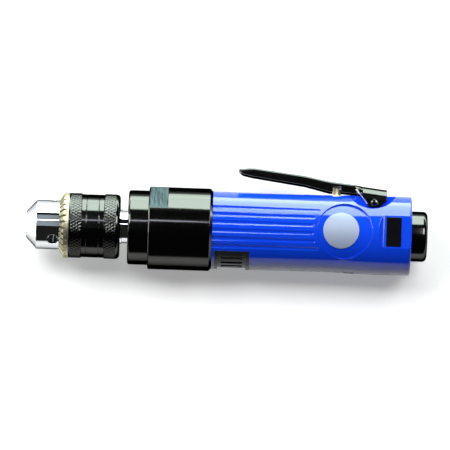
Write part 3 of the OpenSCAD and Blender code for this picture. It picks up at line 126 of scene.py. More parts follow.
class Shader:
    """Node tree of one material."""

    # Places of the colour sockets on a Mix node, whose names repeat.
    MIX_SHARE, MIX_FIRST, MIX_SECOND, MIX_RESULT = 0, 6, 7, 2
    BEVEL_SAMPLES = 6

    def __init__(self, name: str) -> None:
        """Starts an empty material.

        Args:
            name: The material's name.
        """
        self.material = bpy.data.materials.new(name)
        self.material.use_nodes = True
        self.tree = self.material.node_tree
        self.tree.nodes.clear()

    def node(self, kind: str, settings: dict[str, object] | None = None,
             inputs: dict[str | int, object] | None = None) -> bpy.types.Node:
        """Adds a node.

        Args:
            kind: The node's type name.
            settings: Properties that are set first.
            inputs: Values or links of its sockets, by name or place.

        Returns:
            The new node.
        """
        made = self.tree.nodes.new(kind)
        for key, value in (settings or {}).items():
            setattr(made, key, value)
        for key, value in (inputs or {}).items():
            self._feed(made.inputs[key], value)
        return made

    def _feed(self, socket: bpy.types.NodeSocket, value: object) -> None:
        """Links a socket to another one, or sets its own value.

        Args:
            socket: The socket that is fed.
            value: A value or socket to link, or a number, colour or vector to set.
        """
        if isinstance(value, Value):
            self.tree.links.new(value.socket, socket)
        elif isinstance(value, bpy.types.NodeSocket):
            self.tree.links.new(value, socket)
        elif isinstance(value, tuple) and socket.type == "RGBA":
            socket.default_value = (*value, 1.0)
        else:
            socket.default_value = value

    def math(self, operation: str, first: Term, second: Term | None = None) -> Value:
        """Adds a Math node and returns its result."""
        inputs = {0: first} if second is None else {0: first, 1: second}
        return Value(self, self.node("ShaderNodeMath", {"operation": operation}, inputs).outputs[0])

    def place(self) -> bpy.types.NodeSocket:
        """Place on the object, in the row frame, in metres."""
        return self.node("ShaderNodeTexCoord").outputs["Object"]

    def axes_mm(self) -> tuple[Value, Value, Value]:
        """Splits the place on the object.

        Returns:
            Its three parts, in mm.
        """
        parts = self.node("ShaderNodeSeparateXYZ", None, {0: self.place()}).outputs
        x, y, z = (Value(self, part) * MM_PER_METRE for part in parts)
        return x, y, z

    def stretched(self, factors: Point) -> bpy.types.NodeSocket:
        """The place with each axis multiplied by its factor."""
        made = self.node("ShaderNodeVectorMath", {"operation": "MULTIPLY"}, {0: self.place(), 1: factors})
        return made.outputs[0]

    def noise(self, pattern: Pattern) -> Value:
        """Noise from 0 to 1 in a pattern."""
        made = self.node("ShaderNodeTexNoise", None, {
            "Vector": self.stretched(pattern.stretch), "Scale": pattern.scale,
            "Detail": pattern.detail, "Roughness": pattern.roughness})
        return Value(self, made.outputs["Fac"])

    def mix(self, share: Term, first: object, second: object) -> bpy.types.NodeSocket:
        """Mixes two colours by a share."""
        made = self.node("ShaderNodeMix", {"data_type": "RGBA"}, {
            self.MIX_SHARE: share, self.MIX_FIRST: first, self.MIX_SECOND: second})
        return made.outputs[self.MIX_RESULT]

    def step(self, value: Term, low: float, high: float) -> Value:
        """Smooth rise from 0 at low to 1 at high."""
        made = self.node("ShaderNodeMapRange", {"interpolation_type": "SMOOTHSTEP"}, {
            "Value": value, "From Min": low, "From Max": high})
        return Value(self, made.outputs["Result"])

    def between(self, value: Term, span: Span, fade: float) -> Value:
        """1 where a value is in a span, falling to 0 over a fade beyond its ends."""
        low, high = span
        return self.step(value, low - fade, low) * (1.0 - self.step(value, high, high + fade))

    def rounded(self, radius: float) -> bpy.types.NodeSocket:
        """Normal with the edges eased by a radius in metres."""
        return self.node("ShaderNodeBevel", {"samples": self.BEVEL_SAMPLES}, {"Radius": radius}).outputs[0]

    def bump(self, height: Value, distance: float, strength: float,
             normal: bpy.types.NodeSocket) -> bpy.types.NodeSocket:
        """Normal that follows a height, on top of another normal."""
        return self.node("ShaderNodeBump", None, {
            "Height": height, "Distance": distance, "Strength": strength, "Normal": normal}).outputs[0]

    def surface(self, inputs: dict[str, object]) -> bpy.types.Material:
        """Ends the tree with one Principled surface.

        Args:
            inputs: Values or links of the surface's sockets.

        Returns:
            The finished material.
        """
        made = self.node("ShaderNodeBsdfPrincipled", None, inputs)
        self.node("ShaderNodeOutputMaterial", None, {"Surface": made.outputs[0]})
        return self.material


class Finish(ABC):
    """A surface finish that makes its material once."""

    name: str

    @abstractmethod
    def make(self) -> bpy.types.Material:
        """Builds the material's nodes."""

    @property
    def label(self) -> str:
        """Name of the finish's material, which no packed material has."""
        return f"{self.name}_finish"

    def material(self) -> bpy.types.Material:
        """The finish's material, made at its first use."""
        return bpy.data.materials.get(self.label) or self.make()


@dataclass(frozen=True)
class TurnedMetal(Finish):
    """Metal with the fine marks of its turning, grinding or brushing."""

    MARK_DETAIL: ClassVar[float] = 4.0
    MARK_ROUGHNESS: ClassVar[float] = 0.7
    SMEARS: ClassVar[Pattern] = Pattern(90.0, 4.0, 0.6)
    SPECKS: ClassVar[Pattern] = Pattern(2600.0, 2.0, 0.5)
    SMEAR_SHARE: ClassVar[float] = 0.75
    WORN_SPAN: ClassVar[Span] = (0.5, 0.78)
    DULL_LEAST: ClassVar[float] = 0.82
    DULL_SWING: ClassVar[float] = 0.36
    SMEAR_DULL: ClassVar[float] = 0.04

    name: str
    colour: Colour
    worn_colour: Colour
    roughness: float
    edge_tint: Colour
    grain: Grain = Grain.LATHE
    mark_scale: float = 3200.0
    mark_depth_mm: float = 0.004
    edge_round_mm: float = 0.25
    stain: float = 0.35
    speckle: float = 0.25
    relief: float = 0.35

    def make(self) -> bpy.types.Material:
        """Builds the metal all over."""
        shader = Shader(self.label)
        return shader.surface(self.sockets(shader))

    def sockets(self, shader: Shader) -> dict[str, object]:
        """Lays tool marks, stains and handling wear.

        Args:
            shader: The tree that the nodes go into.

        Returns:
            Values or links of the surface's sockets.
        """
        marks = shader.noise(Pattern(self.mark_scale, self.MARK_DETAIL, self.MARK_ROUGHNESS, self.grain.value))
        smears = shader.noise(self.SMEARS)
        specks = shader.noise(self.SPECKS)
        handled = smears * self.SMEAR_SHARE + marks * (1.0 - self.SMEAR_SHARE)
        worn = shader.step(handled, *self.WORN_SPAN) * self.stain
        roughness = self.roughness * (self.DULL_LEAST + marks * self.DULL_SWING) + smears * self.SMEAR_DULL
        normal = shader.bump(marks + specks * self.speckle, self.mark_depth_mm * MM, self.relief,
                             shader.rounded(self.edge_round_mm * MM))
        return {"Base Color": shader.mix(worn, self.colour, self.worn_colour),
                "Metallic": 1.0, "Roughness": roughness, "Normal": normal, "Specular Tint": self.edge_tint}

    def patched(self, shader: Shader, mask: Value, colour: object, roughness: float) -> bpy.types.Material:
        """Builds the metal with a patch of another colour and roughness.

        Args:
            shader: The tree that the nodes go into.
            mask: 1 on the patch and 0 elsewhere.
            colour: The patch's colour or a link to it.
            roughness: The patch's roughness.

        Returns:
            The finished material.
        """
        sockets = self.sockets(shader)
        plain = sockets["Roughness"]
        sockets["Base Color"] = shader.mix(mask, sockets["Base Color"], colour)
        sockets["Roughness"] = plain + (roughness - plain) * mask
        return shader.surface(sockets)


@dataclass(frozen=True)
class FlattedMetal(TurnedMetal):
    """Turned metal with a pair of milled spanner flats."""

    MILLING: ClassVar[Pattern] = Pattern(2100.0, 3.0, 0.7, (1.0, 0.05, 0.05))
    MILLING_SPAN: ClassVar[Span] = (0.35, 0.65)

    flat_colour: Colour = (0.095, 0.125, 0.132)
    line_colour: Colour = (0.03, 0.042, 0.046)
    flat_mm: Span = (5.95, 15.45)
    flat_height_mm: float = 18.85
    flat_turn: float = 54.0
    flat_roughness: float = 0.4
    end_fade_mm: float = 0.05
    height_below_mm: Span = (0.06, 0.03)

    def make(self) -> bpy.types.Material:
        """Builds the metal and lays milling lines on the flats.

        Returns:
            The finished material.
        """
        shader = Shader(self.label)
        x, y, z = shader.axes_mm()
        turn = math.radians(self.flat_turn)
        height = abs(y * math.sin(turn) + z * math.cos(turn))
        low, high = (self.flat_height_mm - below for below in self.height_below_mm)
        inside = shader.step(height, low, high) * shader.between(x, self.flat_mm, self.end_fade_mm)
        lines = shader.step(shader.noise(self.MILLING), *self.MILLING_SPAN)
        milled = shader.mix(lines, self.line_colour, self.flat_colour)
        return self.patched(shader, inside, milled, self.flat_roughness)


@dataclass(frozen=True)
class EdgeHighlightMetal(TurnedMetal):
    """Blackened sheet with a painted highlight, a thin bright line, along the slanted ear edges."""

    highlight_colour: Colour = (0.86, 0.86, 0.83)
    highlight_roughness: float = 0.5
    corner_mm: Span = (114.75, 21.7)
    slope: float = -52.9
    reach_mm: Span = (-1.8, 7.6)
    width_mm: Span = (-0.25, 0.4)
    fade_mm: float = 0.15

    def make(self) -> bpy.types.Material:
        """Builds the metal and paints a thin highlight line along the slanted edges.

        Returns:
            The finished material.
        """
        shader = Shader(self.label)
        x, y, _ = shader.axes_mm()
        x, y = x - self.corner_mm[0], y - self.corner_mm[1]
        right, up = math.cos(math.radians(self.slope)), math.sin(math.radians(self.slope))
        # Painted highlight: a pale, rougher line along the slanted ear edges stands in for light caught there.
        painted_highlight = (shader.between(x * right + y * up, self.reach_mm, self.fade_mm)
                  * shader.between(y * right - x * up, self.width_mm, self.fade_mm))
        return self.patched(shader, painted_highlight, self.highlight_colour, self.highlight_roughness)


@dataclass(frozen=True)
class Enamel(Finish):
    """Glossy paint over a cast body."""

    CLOUD: ClassVar[Pattern] = Pattern(45.0, 3.0, 0.5)
    PEEL: ClassVar[Pattern] = Pattern(620.0, 2.0, 0.4)
    DUST: ClassVar[Pattern] = Pattern(4200.0, 2.0, 0.6)
    CLOUD_DULL: ClassVar[float] = 0.04
    DUST_DULL: ClassVar[float] = 0.06

    name: str
    colour: Colour
    deep_colour: Colour
    roughness: float
    ior: float = 1.5
    edge_round_mm: float = 0.45
    peel_depth_mm: float = 0.02
    relief: float = 0.25
    dust_relief: float = 0.08

    def make(self) -> bpy.types.Material:
        """Builds the paint's depth, orange peel and dust.

        Returns:
            The finished material.
        """
        shader = Shader(self.label)
        cloud, peel, dust = (shader.noise(pattern) for pattern in (self.CLOUD, self.PEEL, self.DUST))
        normal = shader.bump(peel + dust * self.dust_relief, self.peel_depth_mm * MM, self.relief,
                             shader.rounded(self.edge_round_mm * MM))
        return shader.surface({
            "Base Color": shader.mix(cloud, self.colour, self.deep_colour),
            "Roughness": self.roughness + dust * self.DUST_DULL + cloud * self.CLOUD_DULL,
            "Normal": normal, "IOR": self.ior})


@dataclass(frozen=True)
class Grained(Finish):
    """Mottled finish of moulded, pressed, woven or cast stuff."""

    GRAIN_DETAIL: ClassVar[float] = 4.0
    GRAIN_ROUGHNESS: ClassVar[float] = 0.65
    PATCH_DETAIL: ClassVar[float] = 2.0
    PATCH_ROUGHNESS: ClassVar[float] = 0.5
    PATCH_RATIO: ClassVar[float] = 0.08
    GRAIN_SHARE: ClassVar[float] = 0.7
    GRAIN_DULL: ClassVar[float] = 0.12
    PATCH_DULL: ClassVar[float] = 0.1
    NOISE_MIDDLE: ClassVar[float] = 0.5
    RELIEF: ClassVar[float] = 0.5

    name: str
    colour: Colour
    fleck_colour: Colour
    roughness: float
    grain_scale: float
    relief_mm: float
    metallic: float = 0.0
    ior: float = 1.5
    edge_round_mm: float = 0.2

    def make(self) -> bpy.types.Material:
        """Builds flecks, grain and a patchy sheen.

        Returns:
            The finished material.
        """
        shader = Shader(self.label)
        grain = shader.noise(Pattern(self.grain_scale, self.GRAIN_DETAIL, self.GRAIN_ROUGHNESS))
        patches = shader.noise(Pattern(self.grain_scale * self.PATCH_RATIO, self.PATCH_DETAIL, self.PATCH_ROUGHNESS))
        normal = shader.bump(grain, self.relief_mm * MM, self.RELIEF, shader.rounded(self.edge_round_mm * MM))
        flecks = (grain * self.GRAIN_SHARE + patches * (1.0 - self.GRAIN_SHARE)).clamped()
        roughness = (self.roughness + (grain - self.NOISE_MIDDLE) * self.GRAIN_DULL
                     + (patches - self.NOISE_MIDDLE) * self.PATCH_DULL)
        return shader.surface({
            "Base Color": shader.mix(flecks, self.colour, self.fleck_colour),
            "Roughness": roughness, "Metallic": self.metallic, "Normal": normal, "IOR": self.ior})


DARK_EDGE = (0.03, 0.03, 0.03)
OXIDE, WORN_OXIDE = (0.064, 0.065, 0.062), (0.075, 0.076, 0.073)

BLACK_STEEL = TurnedMetal(
    "black_oxide_steel", OXIDE, WORN_OXIDE, roughness=0.1, edge_tint=DARK_EDGE, speckle=0.05)
CASE_STEEL = FlattedMetal(
    "black_oxide_case", OXIDE, WORN_OXIDE, roughness=0.09, edge_tint=DARK_EDGE, speckle=0.05)
# The lever's sheet carries a painted highlight along its slanted ear edges.
LEVER_STEEL = EdgeHighlightMetal(
    "black_oxide_sheet", OXIDE, WORN_OXIDE, roughness=0.1, edge_tint=DARK_EDGE, speckle=0.05)
POLISHED_STEEL = TurnedMetal(
    "polished_steel", (0.74, 0.75, 0.77), (0.66, 0.67, 0.68), roughness=0.03, edge_tint=DARK_EDGE,
    mark_depth_mm=0.001, stain=0.25, speckle=0.02, relief=0.05)
RING_STEEL = TurnedMetal(
    "bare_ring_steel", (0.42, 0.405, 0.29), (0.34, 0.32, 0.22), roughness=0.42, edge_tint=(0.3, 0.29, 0.2),
    mark_scale=2400.0, edge_round_mm=0.15)
TOOL_STEEL = TurnedMetal(
    "hardened_steel", (0.4, 0.41, 0.43), (0.3, 0.3, 0.31), roughness=0.3, edge_tint=(0.5, 0.5, 0.5),
    grain=Grain.EVEN)
BEARING_STEEL = TurnedMetal(
    "bearing_steel", (0.68, 0.69, 0.71), (0.6, 0.6, 0.62), roughness=0.16, edge_tint=(0.8, 0.8, 0.8))
BRASS = TurnedMetal(
    "turned_brass", (0.92, 0.87, 0.62), (0.8, 0.73, 0.47), roughness=0.62, edge_tint=(0.9, 0.82, 0.55),
    grain=Grain.ALONG)
BRONZE = TurnedMetal(
    "sintered_bronze", (0.5, 0.3, 0.13), (0.38, 0.22, 0.1), roughness=0.42, edge_tint=(0.7, 0.5, 0.3),
    grain=Grain.EVEN)
BLUE_ENAMEL = Enamel("blue_enamel", (0.004, 0.05, 0.65), (0.003, 0.042, 0.59), roughness=0.04)
FOIL = Grained(
    "bare_foil", (0.24, 0.29, 0.41), (0.3, 0.35, 0.47), roughness=0.45, grain_scale=1500.0, relief_mm=0.003,
    metallic=0.1)
BLACK_FILM = Grained(
    "bare_black_film", (0.002, 0.002, 0.003), (0.004, 0.004, 0.005), roughness=0.1, grain_scale=900.0,
    relief_mm=0.001)
DARK_PLASTIC = Grained(
    "dark_moulded_plastic", (0.008, 0.009, 0.01), (0.014, 0.015, 0.017), roughness=0.3, grain_scale=2400.0,
    relief_mm=0.006, ior=1.3)
RUBBER = Grained(
    "black_rubber", (0.012, 0.012, 0.012), (0.024, 0.024, 0.024), roughness=0.6, grain_scale=1800.0,
    relief_mm=0.01)
FELT = Grained(
    "wool_felt", (0.36, 0.3, 0.21), (0.55, 0.48, 0.36), roughness=0.95, grain_scale=3000.0, relief_mm=0.06)
PAPER = Grained(
    "gasket_paper", (0.17, 0.21, 0.13), (0.25, 0.29, 0.19), roughness=0.85, grain_scale=1600.0, relief_mm=0.02)
FIBRE = Grained(
    "vane_fibre", (0.16, 0.08, 0.04), (0.27, 0.15, 0.08), roughness=0.55, grain_scale=1400.0, relief_mm=0.015)
NYLON = Grained(
    "cage_nylon", (0.56, 0.44, 0.18), (0.66, 0.53, 0.25), roughness=0.5, grain_scale=1200.0, relief_mm=0.01)
IRON = Grained(
    "ground_iron", (0.18, 0.18, 0.19), (0.27, 0.27, 0.28), roughness=0.38, grain_scale=2000.0, relief_mm=0.01,
    metallic=1.0)


def show(made: bpy.types.Object) -> None:
    """Puts a new object into the scene."""
    bpy.context.scene.collection.objects.link(made)


class MeshMaker:
    """Makes the pieces' meshes from rings of points."""

    SHARP_DEGREES = 32.0

    @staticmethod
    def smooth(mesh: bpy.types.Mesh, sharp_degrees: float) -> None:
        """Shades a mesh smooth but for its sharp edges."""
        mesh.polygons.foreach_set("use_smooth", [True] * len(mesh.polygons))
        mesh.set_sharp_from_angle(angle=math.radians(sharp_degrees))

    @classmethod
    def loft(cls, name: str, rings: Sequence[Sequence[Point]], looped: bool,
             sharp_degrees: float = SHARP_DEGREES) -> bpy.types.Object:
        """Joins closed rings of points, in metres, into one closed skin.

        Args:
            name: The new object's name.
            rings: Rings with the same number of points each.
            looped: True to join the last ring to the first, False to close both ends with a face.
            sharp_degrees: Angle from which an edge shows as sharp.

        Returns:
            The new object.
        """
        count = len(rings[0])
        points = [point for ring in rings for point in ring]
        last = len(rings) if looped else len(rings) - 1
        faces: list[tuple[int, ...]] = []
        for r in range(last):
            a, b = r * count, (r + 1) % len(rings) * count
            faces += [(a + i, a + (i + 1) % count, b + (i + 1) % count, b + i) for i in range(count)]
        if not looped:
            faces.append(tuple(reversed(range(count))))
            faces.append(tuple(range(last * count, len(rings) * count)))
        mesh = bpy.data.meshes.new(name)
        mesh.from_pydata(points, [], faces)
        mesh.validate()
        cls._face_out(mesh)
        cls.smooth(mesh, sharp_degrees)
        made = bpy.data.objects.new(name, mesh)
        show(made)
        return made

    @staticmethod
    def _face_out(mesh: bpy.types.Mesh) -> None:
        """Turns all faces outwards if the skin encloses a negative volume.

        Args:
            mesh: The closed skin.
        """
        mesh.calc_loop_triangles()
        corners = [vertex.co for vertex in mesh.vertices]
        volume = sum(corners[a].dot(corners[b].cross(corners[c]))
                     for a, b, c in (triangle.vertices for triangle in mesh.loop_triangles))
        if volume < 0.0:
            mesh.flip_normals()

    @classmethod
    def turned(cls, name: str, rows: Iterable[Row], segments: int) -> bpy.types.Object:
        """Turns rows about the tool axis into a ring-shaped piece.

        Args:
            name: The new object's name.
            rows: Station in mm and radius, as a function of station and angle, going once round the section.
            segments: Points round the axis.

        Returns:
            The new object.
        """
        angles = [TURN * i / segments for i in range(segments)]
        rings = []
        for x, radius in rows:
            spokes = [(radius(x, a), a) for a in angles]
            rings.append([(x * MM, r * math.cos(a) * MM, r * math.sin(a) * MM) for r, a in spokes])
        return cls.loft(name, rings, True)

    @classmethod
    def cut(cls, piece: bpy.types.Object, cutters: Sequence[bpy.types.Object], sharp_degrees: float) -> None:
        """Cuts pieces out of another one and removes them.

        Args:
            piece: The piece that is cut.
            cutters: The pieces that are cut out and removed.
            sharp_degrees: Angle from which an edge shows as sharp.
        """
        for cutter in cutters:
            modifier = piece.modifiers.new("cut", "BOOLEAN")
            modifier.operation = "DIFFERENCE"
            modifier.solver = "EXACT"
            modifier.object = cutter
        bpy.context.view_layer.update()
        shape = bpy.data.meshes.new_from_object(
            piece.evaluated_get(bpy.context.evaluated_depsgraph_get()))
        piece.modifiers.clear()
        piece.data = shape
        for cutter in cutters:
            bpy.data.objects.remove(cutter)
        cls.smooth(shape, sharp_degrees)


def constant(radius: float) -> Radius:
    """A radius that is the same at every station and angle."""
    return lambda x, angle: radius


def spaced(start: float, end: float, step: float) -> list[float]:
    """Even stations from start to end, both included, about one step apart."""
    count = max(1, round(abs(end - start) / step))
    return [start + (end - start) * i / count for i in range(count + 1)]


def quarter(steps: int) -> list[float]:
    """Even angles of a quarter turn, both ends included."""
    return [TURN / 4.0 * i / steps for i in range(steps + 1)]


def rounded_rim(end: float, radius: float, rounding: float, steps: int) -> list[Row]:
    """Rows of the rounded outer rim at the rear of a turned piece.

    Args:
        end: Station of the rear face.
        radius: Radius in front of the rim.
        rounding: Radius of the rim's arc.
        steps: Parts that the arc is divided into.

    Returns:
        The rows, from the front of the rim to the rear face.
    """
    return [(end - rounding + rounding * math.sin(a), constant(radius - rounding + rounding * math.cos(a)))
            for a in quarter(steps)]


def along(points: Line, x: float) -> float:
    """Finds the height of a line through points.

    Args:
        points: Places and heights, going up in place.
        x: The place.

    Returns:
        The height at x, which beyond the ends is that of the end.
    """
    if x <= points[0][0]:
        return points[0][1]
    for (x0, y0), (x1, y1) in zip(points, points[1:]):
        if x <= x1:
            return y0 + (y1 - y0) * (x - x0) / (x1 - x0)
    return points[-1][1]


def eased(points: Line, x: float, reach: float) -> float:
    """Finds the height of a line through points with its corners eased.

    Args:
        points: Places and heights, going up in place.
        x: The place.
        reach: Length to each side that a corner is eased over.

    Returns:
        The height at x.
    """
    steps = 9
    offsets = [reach * (2.0 * i / (steps - 1) - 1.0) for i in range(steps)]
    return sum(along(points, x + o) for o in offsets) / steps


class SubAssembly(ABC):
    """A group of solids and pieces that is built and dressed together."""

    finishes: dict[str, Finish]

    def build(self) -> None:
        """Makes the pieces that stand for plain solids; some groups have none."""

    def dress(self) -> None:
        """Gives each of the group's solids its finish."""
        for node, finish in self.finishes.items():
            self.paint(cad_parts[node], finish)

    @staticmethod
    def paint(piece: bpy.types.Object, finish: Finish) -> None:
        """Gives a piece one finish all over.

        Args:
            piece: The piece or solid.
            finish: Its finish.
        """
        piece.data.materials.clear()
        piece.data.materials.append(finish.material())
        log.info("%s wears %s", piece.name, finish.name)

    @classmethod
    def put(cls, piece: bpy.types.Object, body: str, node: str, slot: str, finish: Finish) -> None:
        """Sets a new piece on its body in place of a solid.

        Args:
            piece: The new piece.
            body: The body that it rides on.
            node: The solid's node, which it replaces.
            slot: The record's material slot; not used.
            finish: The piece's finish.
        """
        cls.paint(piece, finish)
        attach(piece, body)
        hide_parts(node)


@dataclass
class Chuck(SubAssembly):
    """Keyed chuck: polished body, jaws, toothed ring and knurled sleeve."""

    sleeve_front: float = -36.35
    sleeve_rear: float = -9.45
    sleeve_r: float = 17.0
    bore_r: float = 15.5
    hub_hole_r: float = 9.25
    rear_wall: float = 1.5
    rear_round: float = 2.3
    edge: float = 0.3
    band_depth: float = 0.4
    scribed: Span = (-27.05, -20.55)
    scribe_half: float = 0.2
    scribe_depth: float = 0.18
    front_knurl: Span = (-35.3, -30.1)
    rear_knurl: Span = (-17.3, -12.0)
    knurl_count: int = 60
    knurl_depth: float = 0.16
    knurl_slope: float = 0.62
    knurl_flat: float = 0.42
    knurl_step: float = 0.19
    rim_steps: int = 8
    segments: int = 800

    def __post_init__(self) -> None:
        """Names each solid's finish."""
        self.finishes = {
            "chuck_body": POLISHED_STEEL, "chuck_toothed_ring": RING_STEEL, "chuck_nut": TOOL_STEEL,
            "chuck_jaw_1": TOOL_STEEL, "chuck_jaw_2": TOOL_STEEL, "chuck_jaw_3": TOOL_STEEL}

    def _knurl(self, x: float, angle: float) -> float:
        """Radius inside a gripping band, where two sets of slanted grooves cross.

        Args:
            x: Station along the axis.
            angle: Angle round the axis.

        Returns:
            The radius.
        """
        pitch = TURN * self.sleeve_r / self.knurl_count
        lowest = 1.0
        for lean in (1.0, -1.0):
            turn = angle * self.knurl_count / TURN + lean * x * self.knurl_slope / pitch
            lowest = min(lowest, 2.0 * abs(turn - math.floor(turn) - 0.5))
        return self.sleeve_r - self.knurl_depth * (1.0 - min(1.0, lowest / self.knurl_flat))

    def _band_rows(self, band: Span) -> list[Row]:
        """Rows of one gripping band with plain edges.

        Args:
            band: Stations of the band's ends.

        Returns:
            The rows, from front to rear.
        """
        plain = constant(self.sleeve_r)
        knurled: list[Row] = [(x, self._knurl) for x in spaced(*band, self.knurl_step)]
        return [(band[0] - self.edge, plain), *knurled, (band[1] + self.edge, plain)]

    def _scribe_rows(self, x: float) -> list[Row]:
        """Rows of one scribed line in the plain band.

        Args:
            x: Station of the line.

        Returns:
            The rows, from front to rear.
        """
        plain = constant(self.sleeve_r - self.band_depth)
        deep = constant(self.sleeve_r - self.band_depth - self.scribe_depth)
        return [(x - self.scribe_half, plain), (x, deep), (x + self.scribe_half, plain)]

    def build(self) -> None:
        """Builds the knurled sleeve."""
        band = constant(self.sleeve_r - self.band_depth)
        shoulder = 2.0 * self.edge
        rows: list[Row] = [
            (self.sleeve_front, constant(self.bore_r)),
            (self.sleeve_front, constant(self.sleeve_r - self.edge)),
            (self.sleeve_front + self.edge, constant(self.sleeve_r))]
        rows += self._band_rows(self.front_knurl)
        rows.append((self.front_knurl[1] + shoulder, band))
        for x in self.scribed:
            rows += self._scribe_rows(x)
        rows.append((self.rear_knurl[0] - shoulder, band))
        rows += self._band_rows(self.rear_knurl)
        rows += rounded_rim(self.sleeve_rear, self.sleeve_r, self.rear_round, self.rim_steps)
        inner = self.sleeve_rear - self.rear_wall
        rows += [(self.sleeve_rear, constant(self.hub_hole_r)), (inner, constant(self.hub_hole_r)),
                 (inner, constant(self.bore_r))]
        sleeve = MeshMaker.turned("knurled_sleeve", rows, self.segments)
        self.put(sleeve, "chuck_sleeve", "chuck_sleeve", "black_steel", BLACK_STEEL)


@dataclass
class GearHead(SubAssembly):
    """Spindle, its bearings, the gears, the front collar and the gear case."""

    def __post_init__(self) -> None:
        """Names each solid's finish."""
        self.finishes = {
            "spindle": POLISHED_STEEL, "front_cap": BLACK_STEEL, "gear_case": CASE_STEEL,
            "spindle_seal": FELT, "spindle_bush": BRONZE, "front_bearing_cage": NYLON}
        for node in ("spindle_spacer", "planet_pins", "planet_retainer", "planet_gear_1", "planet_gear_2",
                     "planet_gear_3", "ring_gear"):
            self.finishes[node] = TOOL_STEEL
        for node in ("front_bearing_outer", "front_bearing_inner", "front_bearing_balls"):
            self.finishes[node] = BEARING_STEEL


@dataclass
class Motor(SubAssembly):
    """Vane motor inside the housing."""

    def __post_init__(self) -> None:
        """Names each solid's finish."""
        self.finishes = {
            "rotor": TOOL_STEEL, "cylinder_dowel": TOOL_STEEL, "rotor_vanes": FIBRE, "rear_gasket": PAPER,
            "front_end_plate": IRON, "motor_cylinder": IRON, "rear_end_plate": IRON,
            "rotor_front_bearing_cage": NYLON, "rotor_rear_bearing_cage": NYLON}
        for end in ("front", "rear"):
            for piece in ("outer", "inner", "balls"):
                self.finishes[f"rotor_{end}_bearing_{piece}"] = BEARING_STEEL


@dataclass
class Housing(SubAssembly):
    """Fluted housing with its exhaust deflector, bare disc and bare label."""

    def __post_init__(self) -> None:
        """Names each solid's finish."""
        self.finishes = {
            "housing": BLUE_ENAMEL, "exhaust_deflector": DARK_PLASTIC, "exhaust_felt": FELT,
            "name_disc": FOIL, "side_label": BLACK_FILM}


